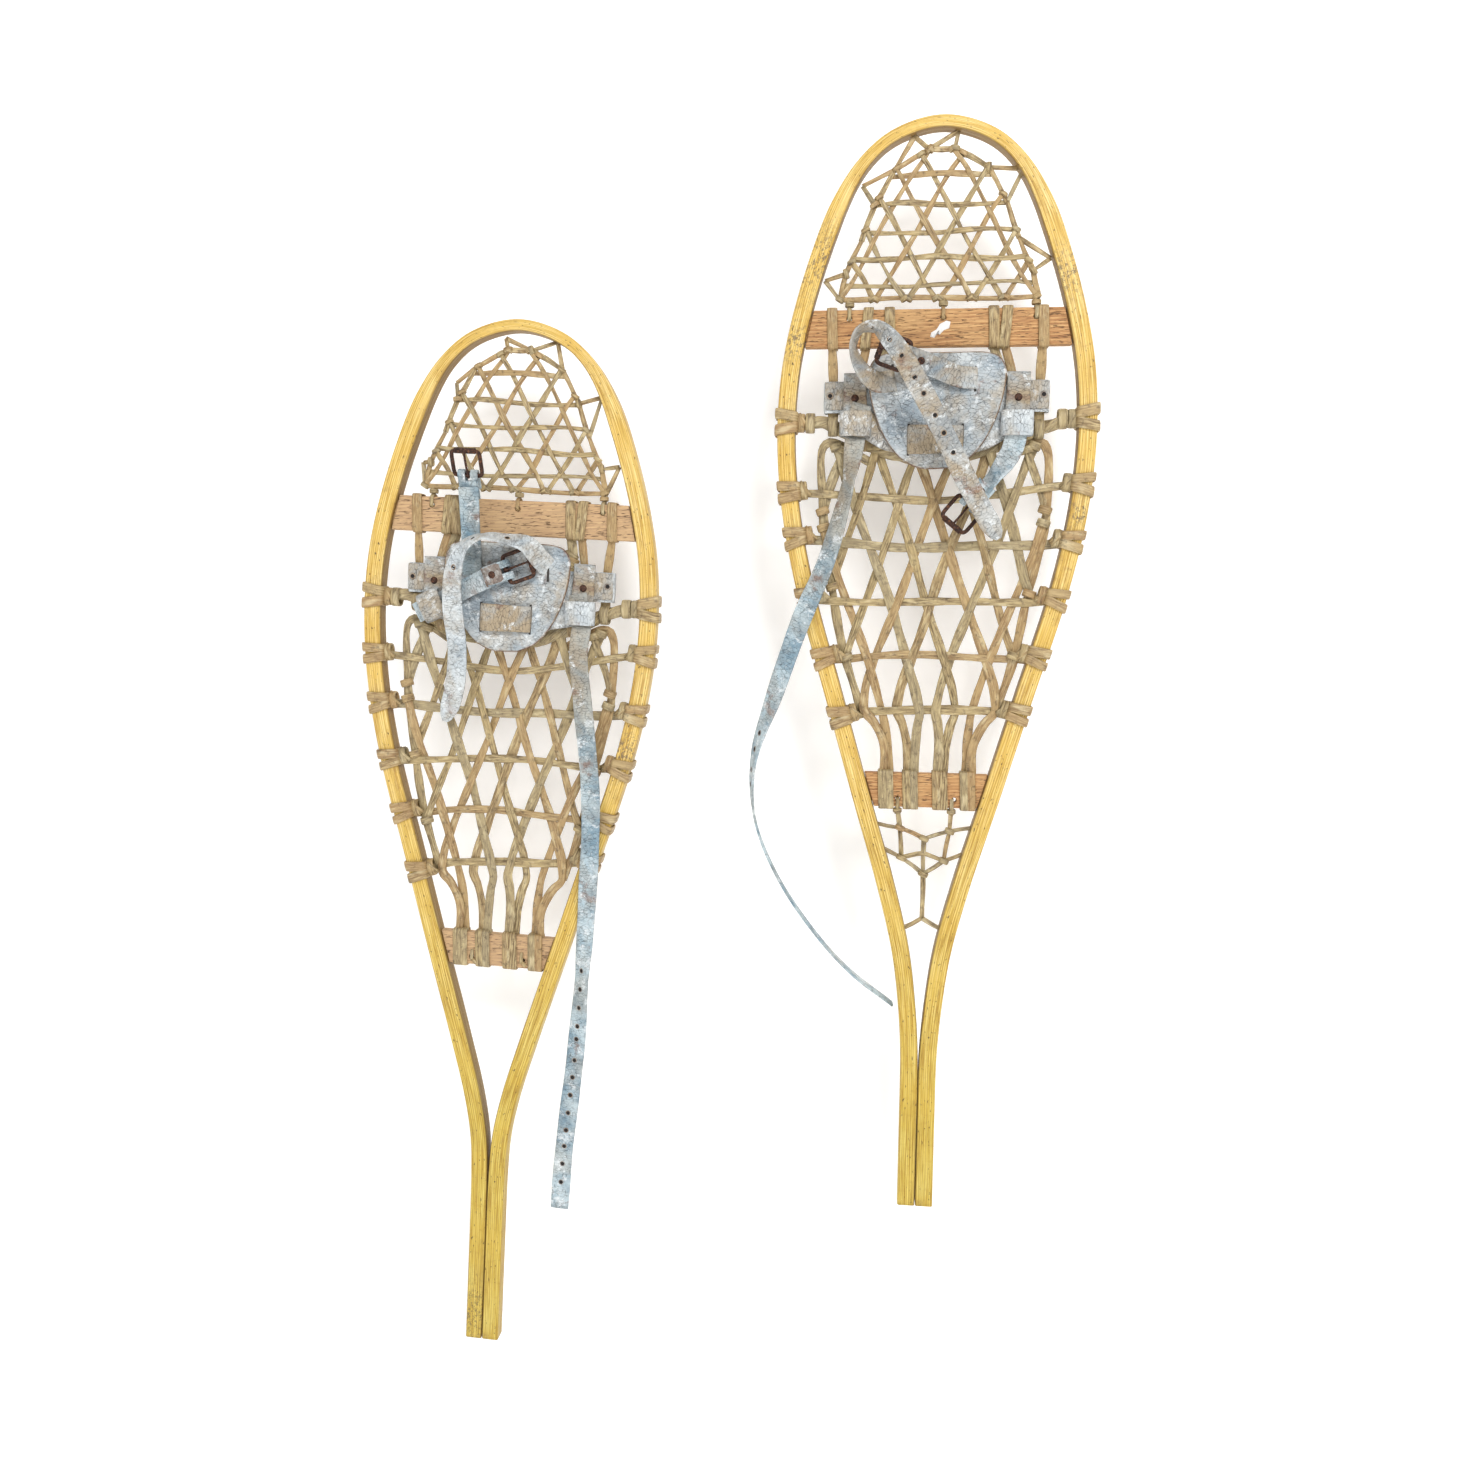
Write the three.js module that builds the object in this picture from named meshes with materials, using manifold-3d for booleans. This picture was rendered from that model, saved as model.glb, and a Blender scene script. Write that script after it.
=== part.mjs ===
// A pair of teardrop wood-and-rawhide snowshoes, toes up, as they hang flat against a wall.
// Millimetres. X to the right, Z up towards the toes, -Y towards the viewer.
// Each shoe is built upright in its own (u, y, w) space: u across, w up from the tail end,
// and y = 0 on the back faces of the rails. It is then leaned and moved to its place.
import * as THREE from 'three';
import { mergeVertices } from 'three/addons/utils/BufferGeometryUtils.js';
import Module from 'manifold-3d';

const wasm = await Module();
wasm.setup();

// ---------- driving dimensions ----------
const MERGE_TOLERANCE = 0.02; // flat faces closer than this are joined into one
const GAP = 0.3; // air left between pieces that rest on each other
const RAIL_WIDTH = 18;
const RAIL_DEPTH = 18;
const RAIL_STEPS = 40; // stations along each half of the bent stave
const SEAM = 0.3; // half the seam between the two tail ends
// outer edge of the stave, [height above the tail end, half width]
const TAIL_STRAIGHT = [[0, 18], [70, 18], [135, 18]];
const BODY_OUTLINE = [
  [330, 46], [420, 72.6], [520, 101.5], [620, 130.5], [700, 146.5], [770, 152],
  [830, 149], [880, 140], [940, 123], [990, 103.5], [1030, 77], [1055, 46],
];
const TOE_TOP = 1067;

const TOE_BAR = { w: 873, height: 35, depth: 10, tenon: 7 };
const HEEL_BAR = { w: 427, height: 34, depth: 10, tenon: 6 };
const BAR_MIDDLE_Y = -9;
const TENON_HEIGHT = 22;
const TENON_DEPTH = 6;
const BAR_HOLE_RADIUS = 2.6;
const TOE_BAR_HOLES = [[-84, 882], [5, 882], [92, 882]];
const HEEL_BAR_HOLES = [[-27, 418], [28, 418]];

const NET_BACK = -8;
const NET_THICKNESS = 2.4;
const THONG = 2.3; // thickness of rawhide wrapped round a rail or bar
const FINE_THONG_WIDTH = 4.6;
const COARSE_THONG_WIDTH = 8.5;
const TOE_ROWS = [1014, 988, 963, 938, 914];
const TOE_DIAGONAL_PITCH = 31;
const TOE_DIAGONAL_SLOPE = 0.6;
const TOE_DIAGONAL_LEVEL = 963; // height at which the diagonals' pitch is measured
const TOE_NET_FOOT = 902;
const TOE_NET_EDGE = [
  [12, 1038], [44, 1020], [62, 988], [74, 955], [88, 925], [94, 901],
];
const TOP_TIE = [[12, 1038], [20, 1048]]; // from the net's edge to the stave
const SIDE_TIES = [ // net edge point and the height it meets the stave at, mirrored
  [[44, 1020], 1024], [[62, 988], 994], [[88, 925], 928],
];
const CENTRE_ROWS = [716, 670, 618, 562, 506];
const CENTRE_EDGE = [
  [0, 736], [58, 745], [104, 766], [108, 716], [104, 670], [94, 618], [82, 562], [66, 506],
];
const DIAGONAL_PITCH = 36;
const DIAGONAL_SLOPE = 0.34;
const DIAGONAL_LEVEL = 693;
const RAIL_WRAP_HEIGHT = 20;
const HEEL_BAR_WRAPS = [-39, -15, 14, 41];
const HEEL_WRAP_WIDTH = 11;
const HEEL_STRAND = { top: 508, spread: 1.15, width: 10 }; // from each wrap up to the net
const HEEL_KNOT = [0, 342]; // where the strands of the small net behind the heel bar meet
const HEEL_NET = { foot: [0, 297], left: [-22, 358], right: [20, 356], top: [0, 378] };
const HEEL_NET_CORNERS = { left: [-24, 388], right: [25, 386] };
const HEEL_NET_HEAD = { left: [-27, 403], right: [28, 403], level: 401 };
const HEEL_TIES = [ // net point and the height its tie meets the stave at
  [[-24, 388], 391], [[25, 386], 388],
  [[-22, 358], 365], [[20, 356], 362],
  [[-1, 299], 287], [[1, 299], 290],
];

const CORD_PATH = [[122, 787], [106, 785], [58, 762], [0, 750]];
const CORD_HEIGHT = 13;
const CORD_DEPTH = 12;
const CORD_MIDDLE_Y = -9;
const CORD_WRAP = { height: 26, ease: 1.2 }; // where the cord goes round the rail
const CORD_END = { from: 120, low: 782, high: 792, depth: 10 };

const STRANDS = { inner: [[69, 792], [60, 853]], outer: [[97, 792], [100, 853]], width: 9, foot: 776 };
const STRAND_LOOP = { u: 83, w: 774, height: 40, run: [48, 23] }; // round the cord, along its slope
const BAND = { from: 56, to: 107, low: 793, high: 823, depth: 12, leather: 2.2 };

const PAD_FRONT = -24.5;
const PAD_BACK = -21.5;
const PAD_EDGE = [
  [14, 739], [32, 748], [47, 766], [58, 790], [64, 815], [64, 833], [58, 843], [46, 847],
];
const SLIT_WIDTH = 5;
const CROSS_SLIT = { u: 25.5, low: 751, high: 781, width: 8 };
const TOE_SLITS = { buckle: -36, free: 42, low: 811, high: 836 };
const STRAP_WIDTH = 20;
const STRAP_THICKNESS = 2.6;
const CROSS_STRAP_WIDTH = 27;
const LOOP = { u: 76, low: 769, high: 793, width: 30, front: -32.5, back: -18.3 };
const EAR = { u: 77, low: 795, high: 829, rivet: 808, width: 22, front: -18.1, back: -15.3 };
const RIVET_HEAD_RADIUS = 4;
const RIVET_HEAD_HEIGHT = 1.6;
const RIVET_SHANK_RADIUS = 1.9;

const BUCKLE = { length: 27, height: 30, wire: 3, barHole: 4.8, prong: 2.2 };
const FOLD = { reach: 14, slot: 4.4 }; // the strap's end round a prong bar
const RIBBON_STEPS = { cross: 48, toeBuckle: 10, toeFree: 30, short: 12, long: 28 };

// Crotch: where the two halves of the stave part above the tail, [height, half width].
const LEFT = {
  name: 'left', x: -461.3, z: -166.1, lean: 4.25, mirror: 1,
  crotch: [[178, 18.3], [222, 20.5], [266, 28.4]],
  loopTurns: { l: 64, r: 0 },
};
const RIGHT = {
  name: 'right', x: 0, z: 0, lean: 1.7, mirror: -1,
  crotch: [[160, 18.5], [205, 21.8], [262, 29.4]],
  heelTies: HEEL_TIES, loopTurns: { l: 0, r: 0 },
};

const FINISH = {
  rail: { color: 0xe0b860, roughness: 0.45, metalness: 0 },
  bar: { color: 0xb98a55, roughness: 0.6, metalness: 0 },
  rawhide: { color: 0xa58c5c, roughness: 0.55, metalness: 0 },
  leather: { color: 0xb7c1c4, roughness: 0.85, metalness: 0 },
  strap: { color: 0x9fb2bb, roughness: 0.85, metalness: 0 },
  iron: { color: 0x4a3328, roughness: 0.8, metalness: 0.7 },
};

// ---------- solids ----------
function toSolid(geometry) {
  const plain = geometry.clone();
  plain.deleteAttribute('normal');
  plain.deleteAttribute('uv');
  const merged = mergeVertices(plain, 1e-4);
  return new wasm.Manifold(new wasm.Mesh({
    numProp: 3,
    vertProperties: new Float32Array(merged.attributes.position.array),
    triVerts: new Uint32Array(merged.index.array),
  }));
}

function toGeometry(solid) {
  const mesh = solid.getMesh();
  const geometry = new THREE.BufferGeometry();
  geometry.setAttribute('position', new THREE.BufferAttribute(new Float32Array(mesh.vertProperties), 3));
  geometry.setIndex(new THREE.BufferAttribute(new Uint32Array(mesh.triVerts), 1));
  return geometry;
}

// joins solids, and merges the flat faces they share
function union(solids) {
  return solids.reduce((sum, next) => sum.add(next)).asOriginal().simplify(MERGE_TOLERANCE);
}

// a box between two corners, in a shoe's own space
function block(u0, u1, y0, y1, w0, w1) {
  const geometry = new THREE.BoxGeometry(u1 - u0, y1 - y0, w1 - w0);
  geometry.translate((u0 + u1) / 2, (y0 + y1) / 2, (w0 + w1) / 2);
  return toSolid(geometry);
}

// a box given by its middle and size, turned about Y by an angle in radians
function turnedBlock(u, y, w, width, depth, height, angle) {
  const geometry = new THREE.BoxGeometry(width, depth, height);
  geometry.rotateY(angle);
  geometry.translate(u, y, w);
  return toSolid(geometry);
}

// a flat strip of net between two points
function strip([u0, w0], [u1, w1], width) {
  const length = Math.hypot(u1 - u0, w1 - w0);
  const angle = Math.atan2(u1 - u0, w1 - w0);
  const y = NET_BACK - NET_THICKNESS / 2;
  return turnedBlock((u0 + u1) / 2, y, (w0 + w1) / 2, width, NET_THICKNESS, length, angle);
}

// flat strips end to end through a list of points
function stripChain(points, width) {
  return points.slice(1).map((point, i) => strip(points[i], point, width));
}

// a rectangular sleeve round something of the given width and depth
function sleeve(u, y, w, width, depth, height, angle, thickness = THONG) {
  const inner = 2 * GAP;
  const outer = inner + 2 * thickness;
  return turnedBlock(u, y, w, width + outer, depth + outer, height, angle)
    .subtract(turnedBlock(u, y, w, width + inner, depth + inner, height + 2, angle));
}

// an eight-sided pin or drill along Y
function roundAlongY(u, w, radius, y0, y1) {
  const geometry = new THREE.CylinderGeometry(radius, radius, y1 - y0, 8);
  geometry.translate(u, (y0 + y1) / 2, w);
  return toSolid(geometry);
}

// skin between matching rings of points, closed at both ends
function loft(sections) {
  const n = sections[0].length;
  const positions = sections.flat().flatMap((p) => [p.x, p.y, p.z]);
  const index = [];
  for (let i = 0; i < sections.length - 1; i += 1) {
    for (let j = 0; j < n; j += 1) {
      const a = i * n + j;
      const b = i * n + ((j + 1) % n);
      index.push(a, b, b + n, a, b + n, a + n);
    }
  }
  const last = (sections.length - 1) * n;
  for (let j = 1; j < n - 1; j += 1) {
    index.push(0, j + 1, j, last, last + j, last + j + 1);
  }
  const geometry = new THREE.BufferGeometry();
  geometry.setAttribute('position', new THREE.Float32BufferAttribute(positions, 3));
  geometry.setIndex(signedVolume(positions, index) < 0 ? index.reverse() : index);
  return geometry;
}

function signedVolume(positions, index) {
  let six = 0;
  for (let i = 0; i < index.length; i += 3) {
    const [a, b, c] = index.slice(i, i + 3).map((k) => new THREE.Vector3().fromArray(positions, 3 * k));
    six += a.dot(b.cross(c));
  }
  return six;
}

// A strap through stations [u, y, w, twist in degrees]. Untwisted it faces the viewer.
function ribbon(stations, width, steps, thickness = STRAP_THICKNESS) {
  const points = stations.map(([u, y, w]) => new THREE.Vector3(u, y, w));
  const curve = new THREE.CatmullRomCurve3(points, false, 'centripetal');
  const depthAxis = new THREE.Vector3(0, 1, 0);
  const sections = [];
  for (let i = 0; i <= steps; i += 1) {
    const t = i / steps;
    const centre = curve.getPoint(t);
    const along = curve.getTangent(t);
    const station = t * (stations.length - 1);
    const k = Math.min(Math.floor(station), stations.length - 2);
    const twist = THREE.MathUtils.lerp(stations[k][3], stations[k + 1][3], station - k);
    const across = along.clone().cross(depthAxis).normalize();
    across.applyAxisAngle(along, THREE.MathUtils.degToRad(twist));
    const through = along.clone().cross(across).normalize();
    const corner = (a, b) => centre.clone()
      .addScaledVector(across, (a * width) / 2)
      .addScaledVector(through, (b * thickness) / 2);
    sections.push([corner(-1, -1), corner(1, -1), corner(1, 1), corner(-1, 1)]);
  }
  return toSolid(loft(sections));
}

// ---------- the wooden frame ----------
function outlinePoints(shoe) {
  const side = [...TAIL_STRAIGHT, ...shoe.crotch, ...BODY_OUTLINE];
  const right = side.map(([w, u]) => new THREE.Vector3(u, 0, w));
  const left = side.map(([w, u]) => new THREE.Vector3(-u, 0, w)).reverse();
  return [...right, new THREE.Vector3(0, 0, TOE_TOP), ...left];
}

// stations along the middle of the stave: place, direction and outward normal
function staveStations(shoe) {
  const curve = new THREE.CatmullRomCurve3(outlinePoints(shoe), false, 'centripetal');
  const stations = [];
  for (let i = 0; i <= 2 * RAIL_STEPS; i += 1) {
    const t = i / (2 * RAIL_STEPS);
    const along = curve.getTangentAt(t);
    const outward = new THREE.Vector3(along.z, 0, -along.x);
    const edge = curve.getPointAt(t);
    stations.push({ along, outward, centre: edge.addScaledVector(outward, -RAIL_WIDTH / 2) });
  }
  return stations;
}

// the stave's middle and slant at a height, on one side (+1 right, -1 left)
function railAt(shoe, w, side) {
  const half = shoe.stations.slice(0, RAIL_STEPS + 1);
  const k = half.findIndex((s, i) => i > 0 && s.centre.z >= w);
  const [a, b] = [half[k - 1], half[k]];
  const t = (w - a.centre.z) / (b.centre.z - a.centre.z);
  const u = THREE.MathUtils.lerp(a.centre.x, b.centre.x, t);
  const slant = Math.atan2(b.centre.x - a.centre.x, b.centre.z - a.centre.z);
  return { u: side * u, slant: side * slant, inner: u - RAIL_WIDTH / 2 / Math.cos(slant) };
}

function frameRail(shoe) {
  const half = RAIL_WIDTH / 2 - SEAM;
  const profile = [[-half, 0], [half, 0], [half, -RAIL_DEPTH], [-half, -RAIL_DEPTH]];
  const sections = shoe.stations.map(({ centre, outward }) => profile.map(([across, y]) => {
    const point = centre.clone().addScaledVector(outward, across);
    point.y = y;
    return point;
  }));
  const mouth = 20; // well inside the frame
  const pockets = [TOE_BAR, HEEL_BAR].flatMap((bar) => [-1, 1].map((side) => {
    const reach = railAt(shoe, bar.w, side).inner + bar.tenon + GAP;
    const [u0, u1] = side > 0 ? [mouth, reach] : [-reach, -mouth];
    return block(
      u0, u1,
      BAR_MIDDLE_Y - TENON_DEPTH / 2 - GAP, BAR_MIDDLE_Y + TENON_DEPTH / 2 + GAP,
      bar.w - TENON_HEIGHT / 2 - GAP, bar.w + TENON_HEIGHT / 2 + GAP,
    );
  }));
  const ties = [...toeTies(shoe), ...heelTies(shoe)].map(([, [u, w]]) => tieHole(u, w));
  return toSolid(loft(sections)).subtract(union(pockets)).subtract(union(ties));
}

// a square hole in the stave's inner face for a tie of the toe lacing
function tieHole(u, w) {
  const size = FINE_THONG_WIDTH + 3.4;
  return turnedBlock(u, BAR_MIDDLE_Y, w, size, size, size, 0);
}

// each tie of the heel lacing, for a shoe that has one
function heelTies(shoe) {
  return (shoe.heelTies ?? []).map(([from, w]) => {
    const side = Math.sign(from[0]);
    return [from, [side * (railAt(shoe, w, 1).inner + 1), w]];
  });
}

// each tie of the toe lacing: where it leaves the net and where it enters the stave
function toeTies(shoe) {
  const sides = SIDE_TIES.map(([from, w]) => [from, [railAt(shoe, w, 1).inner + 1, w]]);
  return [TOP_TIE, ...sides].flatMap(([a, b]) => [[a, b], [[-a[0], a[1]], [-b[0], b[1]]]]);
}

function crossbar(shoe, bar, holes) {
  const low = bar.w - bar.height / 2;
  const high = bar.w + bar.height / 2;
  const sections = [low, high].map((w) => {
    const u = railAt(shoe, w, 1).inner - GAP;
    return [-u, u].flatMap((x, i) => {
      const ys = i ? [bar.depth / 2, -bar.depth / 2] : [-bar.depth / 2, bar.depth / 2];
      return ys.map((y) => new THREE.Vector3(x, BAR_MIDDLE_Y + y, w));
    });
  });
  const body = toSolid(loft(sections));
  const reach = railAt(shoe, bar.w, 1).inner + bar.tenon;
  const tenons = block(
    -reach, reach,
    BAR_MIDDLE_Y - TENON_DEPTH / 2, BAR_MIDDLE_Y + TENON_DEPTH / 2,
    bar.w - TENON_HEIGHT / 2, bar.w + TENON_HEIGHT / 2,
  );
  const [front, back] = [BAR_MIDDLE_Y - bar.depth, BAR_MIDDLE_Y + bar.depth];
  const drills = holes.map(([u, w]) => roundAlongY(u, w, BAR_HOLE_RADIUS, front, back));
  return body.add(tenons).subtract(union(drills));
}

// ---------- rawhide ----------
// where the line through a point with a slope du/dw enters and leaves a polygon
function clipLine(u0, w0, slope, polygon) {
  const hits = [];
  polygon.forEach(([ua, wa], i) => {
    const [ub, wb] = polygon[(i + 1) % polygon.length];
    const fa = ua - u0 - slope * (wa - w0);
    const fb = ub - u0 - slope * (wb - w0);
    if ((fa > 0) !== (fb > 0)) {
      const t = fa / (fa - fb);
      hits.push([ua + t * (ub - ua), wa + t * (wb - wa)]);
    }
  });
  return hits.sort((a, b) => a[1] - b[1]);
}

// where a level line crosses a polygon
function levelSpan(w, polygon) {
  const hits = [];
  polygon.forEach(([ua, wa], i) => {
    const [ub, wb] = polygon[(i + 1) % polygon.length];
    if ((wa > w) !== (wb > w)) {
      hits.push(ua + ((w - wa) / (wb - wa)) * (ub - ua));
    }
  });
  return hits.sort((a, b) => a - b);
}

function mirrored(points) {
  return [...points, ...points.map(([u, w]) => [-u, w]).reverse()];
}

// diagonal strips of both slants inside a polygon
function diagonals(polygon, pitch, slope, level, width) {
  const strips = [];
  for (let k = -6; k <= 6; k += 1) {
    for (const sign of [-1, 1]) {
      const hits = clipLine(k * pitch, level, sign * slope, polygon);
      if (hits.length >= 2 && hits.at(-1)[1] - hits[0][1] > pitch) {
        strips.push(strip(hits[0], hits.at(-1), width));
      }
    }
  }
  return strips;
}

function toeLacing(shoe) {
  const edge = mirrored(TOE_NET_EDGE);
  const rows = TOE_ROWS.map((w) => {
    const [a, b] = levelSpan(w, edge);
    return strip([a, w], [b, w], FINE_THONG_WIDTH);
  });
  const border = stripChain([...edge, edge[0]], FINE_THONG_WIDTH);
  const ties = toeTies(shoe).map(([from, to]) => strip(from, to, FINE_THONG_WIDTH - 1));
  const barTies = TOE_BAR_HOLES.flatMap(([u, w]) => barTie(u, w, TOE_NET_FOOT));
  const slants = diagonals(
    edge, TOE_DIAGONAL_PITCH, TOE_DIAGONAL_SLOPE, TOE_DIAGONAL_LEVEL, FINE_THONG_WIDTH,
  );
  return union([...border, ...rows, ...slants, ...ties, ...barTies]);
}

// a loop from a hole in a crossbar over its near edge to the net beyond it
function barTie(u, w, netW) {
  const halfThong = 1.3;
  const half = TOE_BAR.depth / 2;
  const away = Math.sign(netW - w);
  const outer = half + GAP + THONG;
  const [w0, w1] = [w - away * halfThong, netW].sort((a, b) => a - b);
  const [v0, v1] = [w - away * halfThong, w + away * halfThong].sort((a, b) => a - b);
  return [
    block(u - halfThong, u + halfThong, BAR_MIDDLE_Y - outer, BAR_MIDDLE_Y - half - GAP, w0, w1),
    block(u - halfThong, u + halfThong, BAR_MIDDLE_Y + half + GAP, BAR_MIDDLE_Y + outer, w0, w1),
    block(u - halfThong, u + halfThong, BAR_MIDDLE_Y - outer, BAR_MIDDLE_Y + outer, v0, v1),
    block(u - halfThong, u + halfThong, BAR_MIDDLE_Y - outer, BAR_MIDDLE_Y + outer, netW - 2, netW + 1),
  ];
}

function centreLacing(shoe) {
  const solids = [];
  for (const w of CENTRE_ROWS) {
    const { inner } = railAt(shoe, w, 1);
    solids.push(strip([-inner + GAP + 1, w], [inner - GAP - 1, w], COARSE_THONG_WIDTH));
    for (const side of [-1, 1]) {
      const rail = railAt(shoe, w, side);
      solids.push(sleeve(
        rail.u, -RAIL_DEPTH / 2, w,
        RAIL_WIDTH, RAIL_DEPTH, RAIL_WRAP_HEIGHT, rail.slant,
      ));
    }
  }
  const edge = mirrored(CENTRE_EDGE);
  for (const side of [-1, 1]) {
    solids.push(...stripChain(CENTRE_EDGE.map(([u, w]) => [side * u, w]), COARSE_THONG_WIDTH));
  }
  solids.push(...diagonals(edge, DIAGONAL_PITCH, DIAGONAL_SLOPE, DIAGONAL_LEVEL, COARSE_THONG_WIDTH));
  const wrapTop = HEEL_BAR.w + HEEL_BAR.height / 2 + GAP;
  for (const u of HEEL_BAR_WRAPS) {
    const head = [u * HEEL_STRAND.spread, HEEL_STRAND.top];
    solids.push(strip([u, wrapTop + 1], head, HEEL_STRAND.width));
    solids.push(barWrap(u, HEEL_BAR, HEEL_WRAP_WIDTH));
  }
  return union(solids);
}

// rawhide once round a crossbar
function barWrap(u, bar, width) {
  const reach = bar.height / 2 + GAP;
  const half = bar.depth / 2 + GAP;
  const outer = block(
    u - width / 2, u + width / 2,
    BAR_MIDDLE_Y - half - THONG, BAR_MIDDLE_Y + half + THONG,
    bar.w - reach - THONG, bar.w + reach + THONG,
  );
  const inner = block(
    u - width, u + width,
    BAR_MIDDLE_Y - half, BAR_MIDDLE_Y + half,
    bar.w - reach, bar.w + reach,
  );
  return outer.subtract(inner);
}

function heelLacing(shoe) {
  const { foot, left, right, top } = HEEL_NET;
  const corners = HEEL_NET_CORNERS;
  const strands = [
    [HEEL_KNOT, foot], [HEEL_KNOT, left], [HEEL_KNOT, right], [HEEL_KNOT, top],
    [left, corners.left], [right, corners.right], [corners.left, top], [top, corners.right],
    [corners.left, HEEL_NET_HEAD.left], [corners.right, HEEL_NET_HEAD.right],
    ...heelTies(shoe),
  ];
  const ties = HEEL_BAR_HOLES.flatMap(([u, w]) => barTie(u, w, HEEL_NET_HEAD.level));
  const fine = strands.map(([a, b]) => strip(a, b, FINE_THONG_WIDTH - 0.6));
  return union([...fine, ...ties]);
}

function toeCord(shoe) {
  const solids = [];
  const points = mirrored(CORD_PATH.slice(0, -1));
  points.splice(CORD_PATH.length - 1, 0, CORD_PATH.at(-1));
  points.slice(1).forEach(([u1, w1], i) => {
    const [u0, w0] = points[i];
    const length = Math.hypot(u1 - u0, w1 - w0) + CORD_HEIGHT / 3;
    solids.push(turnedBlock(
      (u0 + u1) / 2, CORD_MIDDLE_Y, (w0 + w1) / 2,
      CORD_HEIGHT, CORD_DEPTH, length, Math.atan2(u1 - u0, w1 - w0),
    ));
  });
  for (const side of [-1, 1]) {
    const level = CORD_PATH[0][1];
    const rail = railAt(shoe, level, side);
    const wrapWidth = RAIL_WIDTH + CORD_WRAP.ease;
    solids.push(sleeve(
      rail.u, -RAIL_DEPTH / 2, level,
      wrapWidth, RAIL_DEPTH, CORD_WRAP.height, rail.slant,
    ));
    const reach = rail.inner - GAP - 0.4;
    const [u0, u1] = [side * CORD_END.from, side * reach].sort((a, b) => a - b);
    const half = CORD_END.depth / 2;
    solids.push(block(u0, u1, CORD_MIDDLE_Y - half, CORD_MIDDLE_Y + half, CORD_END.low, CORD_END.high));
  }
  return union(solids);
}

// the two strands beside the toe hole, round the toe crossbar above and the toe cord below
function sideStrands(side) {
  const { inner, outer, width, foot } = STRANDS;
  const { u, w, height, run } = STRAND_LOOP;
  const flip = ([across, up]) => [side * across, up];
  const cordAngle = Math.atan2(side * run[0], run[1]);
  const wrap = [inner, outer].flatMap((path) => [
    strip(flip([path[0][0], foot]), flip(path[0]), width),
    strip(flip(path[0]), flip(path[1]), width),
    barWrap(side * path[1][0], TOE_BAR, width + 3),
  ]);
  wrap.push(sleeve(side * u, CORD_MIDDLE_Y, w, CORD_HEIGHT, CORD_DEPTH, height, cordAngle));
  const core = turnedBlock(
    side * u, CORD_MIDDLE_Y, w,
    CORD_HEIGHT + 2 * GAP, CORD_DEPTH + 2 * GAP, 1.5 * height, cordAngle,
  );
  return union(wrap).subtract(core);
}

// ---------- the binding ----------
function pad() {
  const outline = mirrored(PAD_EDGE);
  const shape = new THREE.Shape(outline.map(([u, w]) => new THREE.Vector2(u, w)));
  const geometry = new THREE.ExtrudeGeometry(shape, { depth: PAD_BACK - PAD_FRONT, bevelEnabled: false });
  geometry.rotateX(Math.PI / 2);
  geometry.translate(0, PAD_BACK, 0);
  const slits = [-1, 1].map((s) => block(
    s * CROSS_SLIT.u - CROSS_SLIT.width / 2, s * CROSS_SLIT.u + CROSS_SLIT.width / 2,
    PAD_FRONT - 1, PAD_BACK + 1, CROSS_SLIT.low, CROSS_SLIT.high,
  ));
  for (const u of [TOE_SLITS.buckle, TOE_SLITS.free]) {
    slits.push(block(
      u - SLIT_WIDTH / 2, u + SLIT_WIDTH / 2,
      PAD_FRONT - 1, PAD_BACK + 1, TOE_SLITS.low, TOE_SLITS.high,
    ));
  }
  return toSolid(geometry).subtract(union(slits));
}

// the strap that holds the pad to the toe cord: out through two slits, and a loop at each end
function crossStrap(shoe) {
  const middle = (CROSS_SLIT.low + CROSS_SLIT.high) / 2;
  const front = PAD_FRONT - GAP - STRAP_THICKNESS / 2;
  const back = PAD_BACK + GAP + STRAP_THICKNESS / 2;
  const halfRun = [
    [0, front, middle, 0], [21, front, middle, 0], [24, front + 1, middle, 0],
    [27, back - 1, middle, 0], [30, back, middle, 0],
    [45, back, middle + 3, 0], [68, back, middle + 14, 0],
  ];
  const left = halfRun.slice(1).map(([u, y, w, a]) => [-u, y, w, a]).reverse();
  const run = ribbon([...left, ...halfRun], CROSS_STRAP_WIDTH, RIBBON_STEPS.cross);
  const loops = [[-1, shoe.loopTurns.l], [1, shoe.loopTurns.r]].map(([side, turn]) => {
    const centre = [side * LOOP.u, (LOOP.front + LOOP.back) / 2, (LOOP.low + LOOP.high) / 2];
    const depth = LOOP.back - LOOP.front;
    const height = LOOP.high - LOOP.low;
    const angle = THREE.MathUtils.degToRad(turn);
    const wall = 2 * STRAP_THICKNESS;
    return {
      outside: turnedBlock(...centre, LOOP.width, depth, height, angle),
      hollow: turnedBlock(...centre, LOOP.width - wall, depth - wall, height + 8, angle),
    };
  });
  return union([run, ...loops.map((loop) => loop.outside)])
    .subtract(union(loops.map((loop) => loop.hollow)));
}

// leather folded round the two strands beside the toe hole
function sideBand(side) {
  const [u0, u1] = [side * BAND.from, side * BAND.to].sort((a, b) => a - b);
  const [y0, y1] = [CORD_MIDDLE_Y - BAND.depth / 2, CORD_MIDDLE_Y + BAND.depth / 2];
  const t = BAND.leather;
  return block(u0, u1, y0, y1, BAND.low, BAND.high)
    .subtract(block(u0 + t, u1 - t, y0 + t, y1 - t, BAND.low - 1, BAND.high + 1));
}

function earTab(side) {
  const u = side * EAR.u;
  return block(u - EAR.width / 2, u + EAR.width / 2, EAR.front, EAR.back, EAR.low, EAR.high)
    .subtract(roundAlongY(u, EAR.rivet, RIVET_SHANK_RADIUS + GAP, EAR.front - 1, EAR.back + 1));
}

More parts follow.
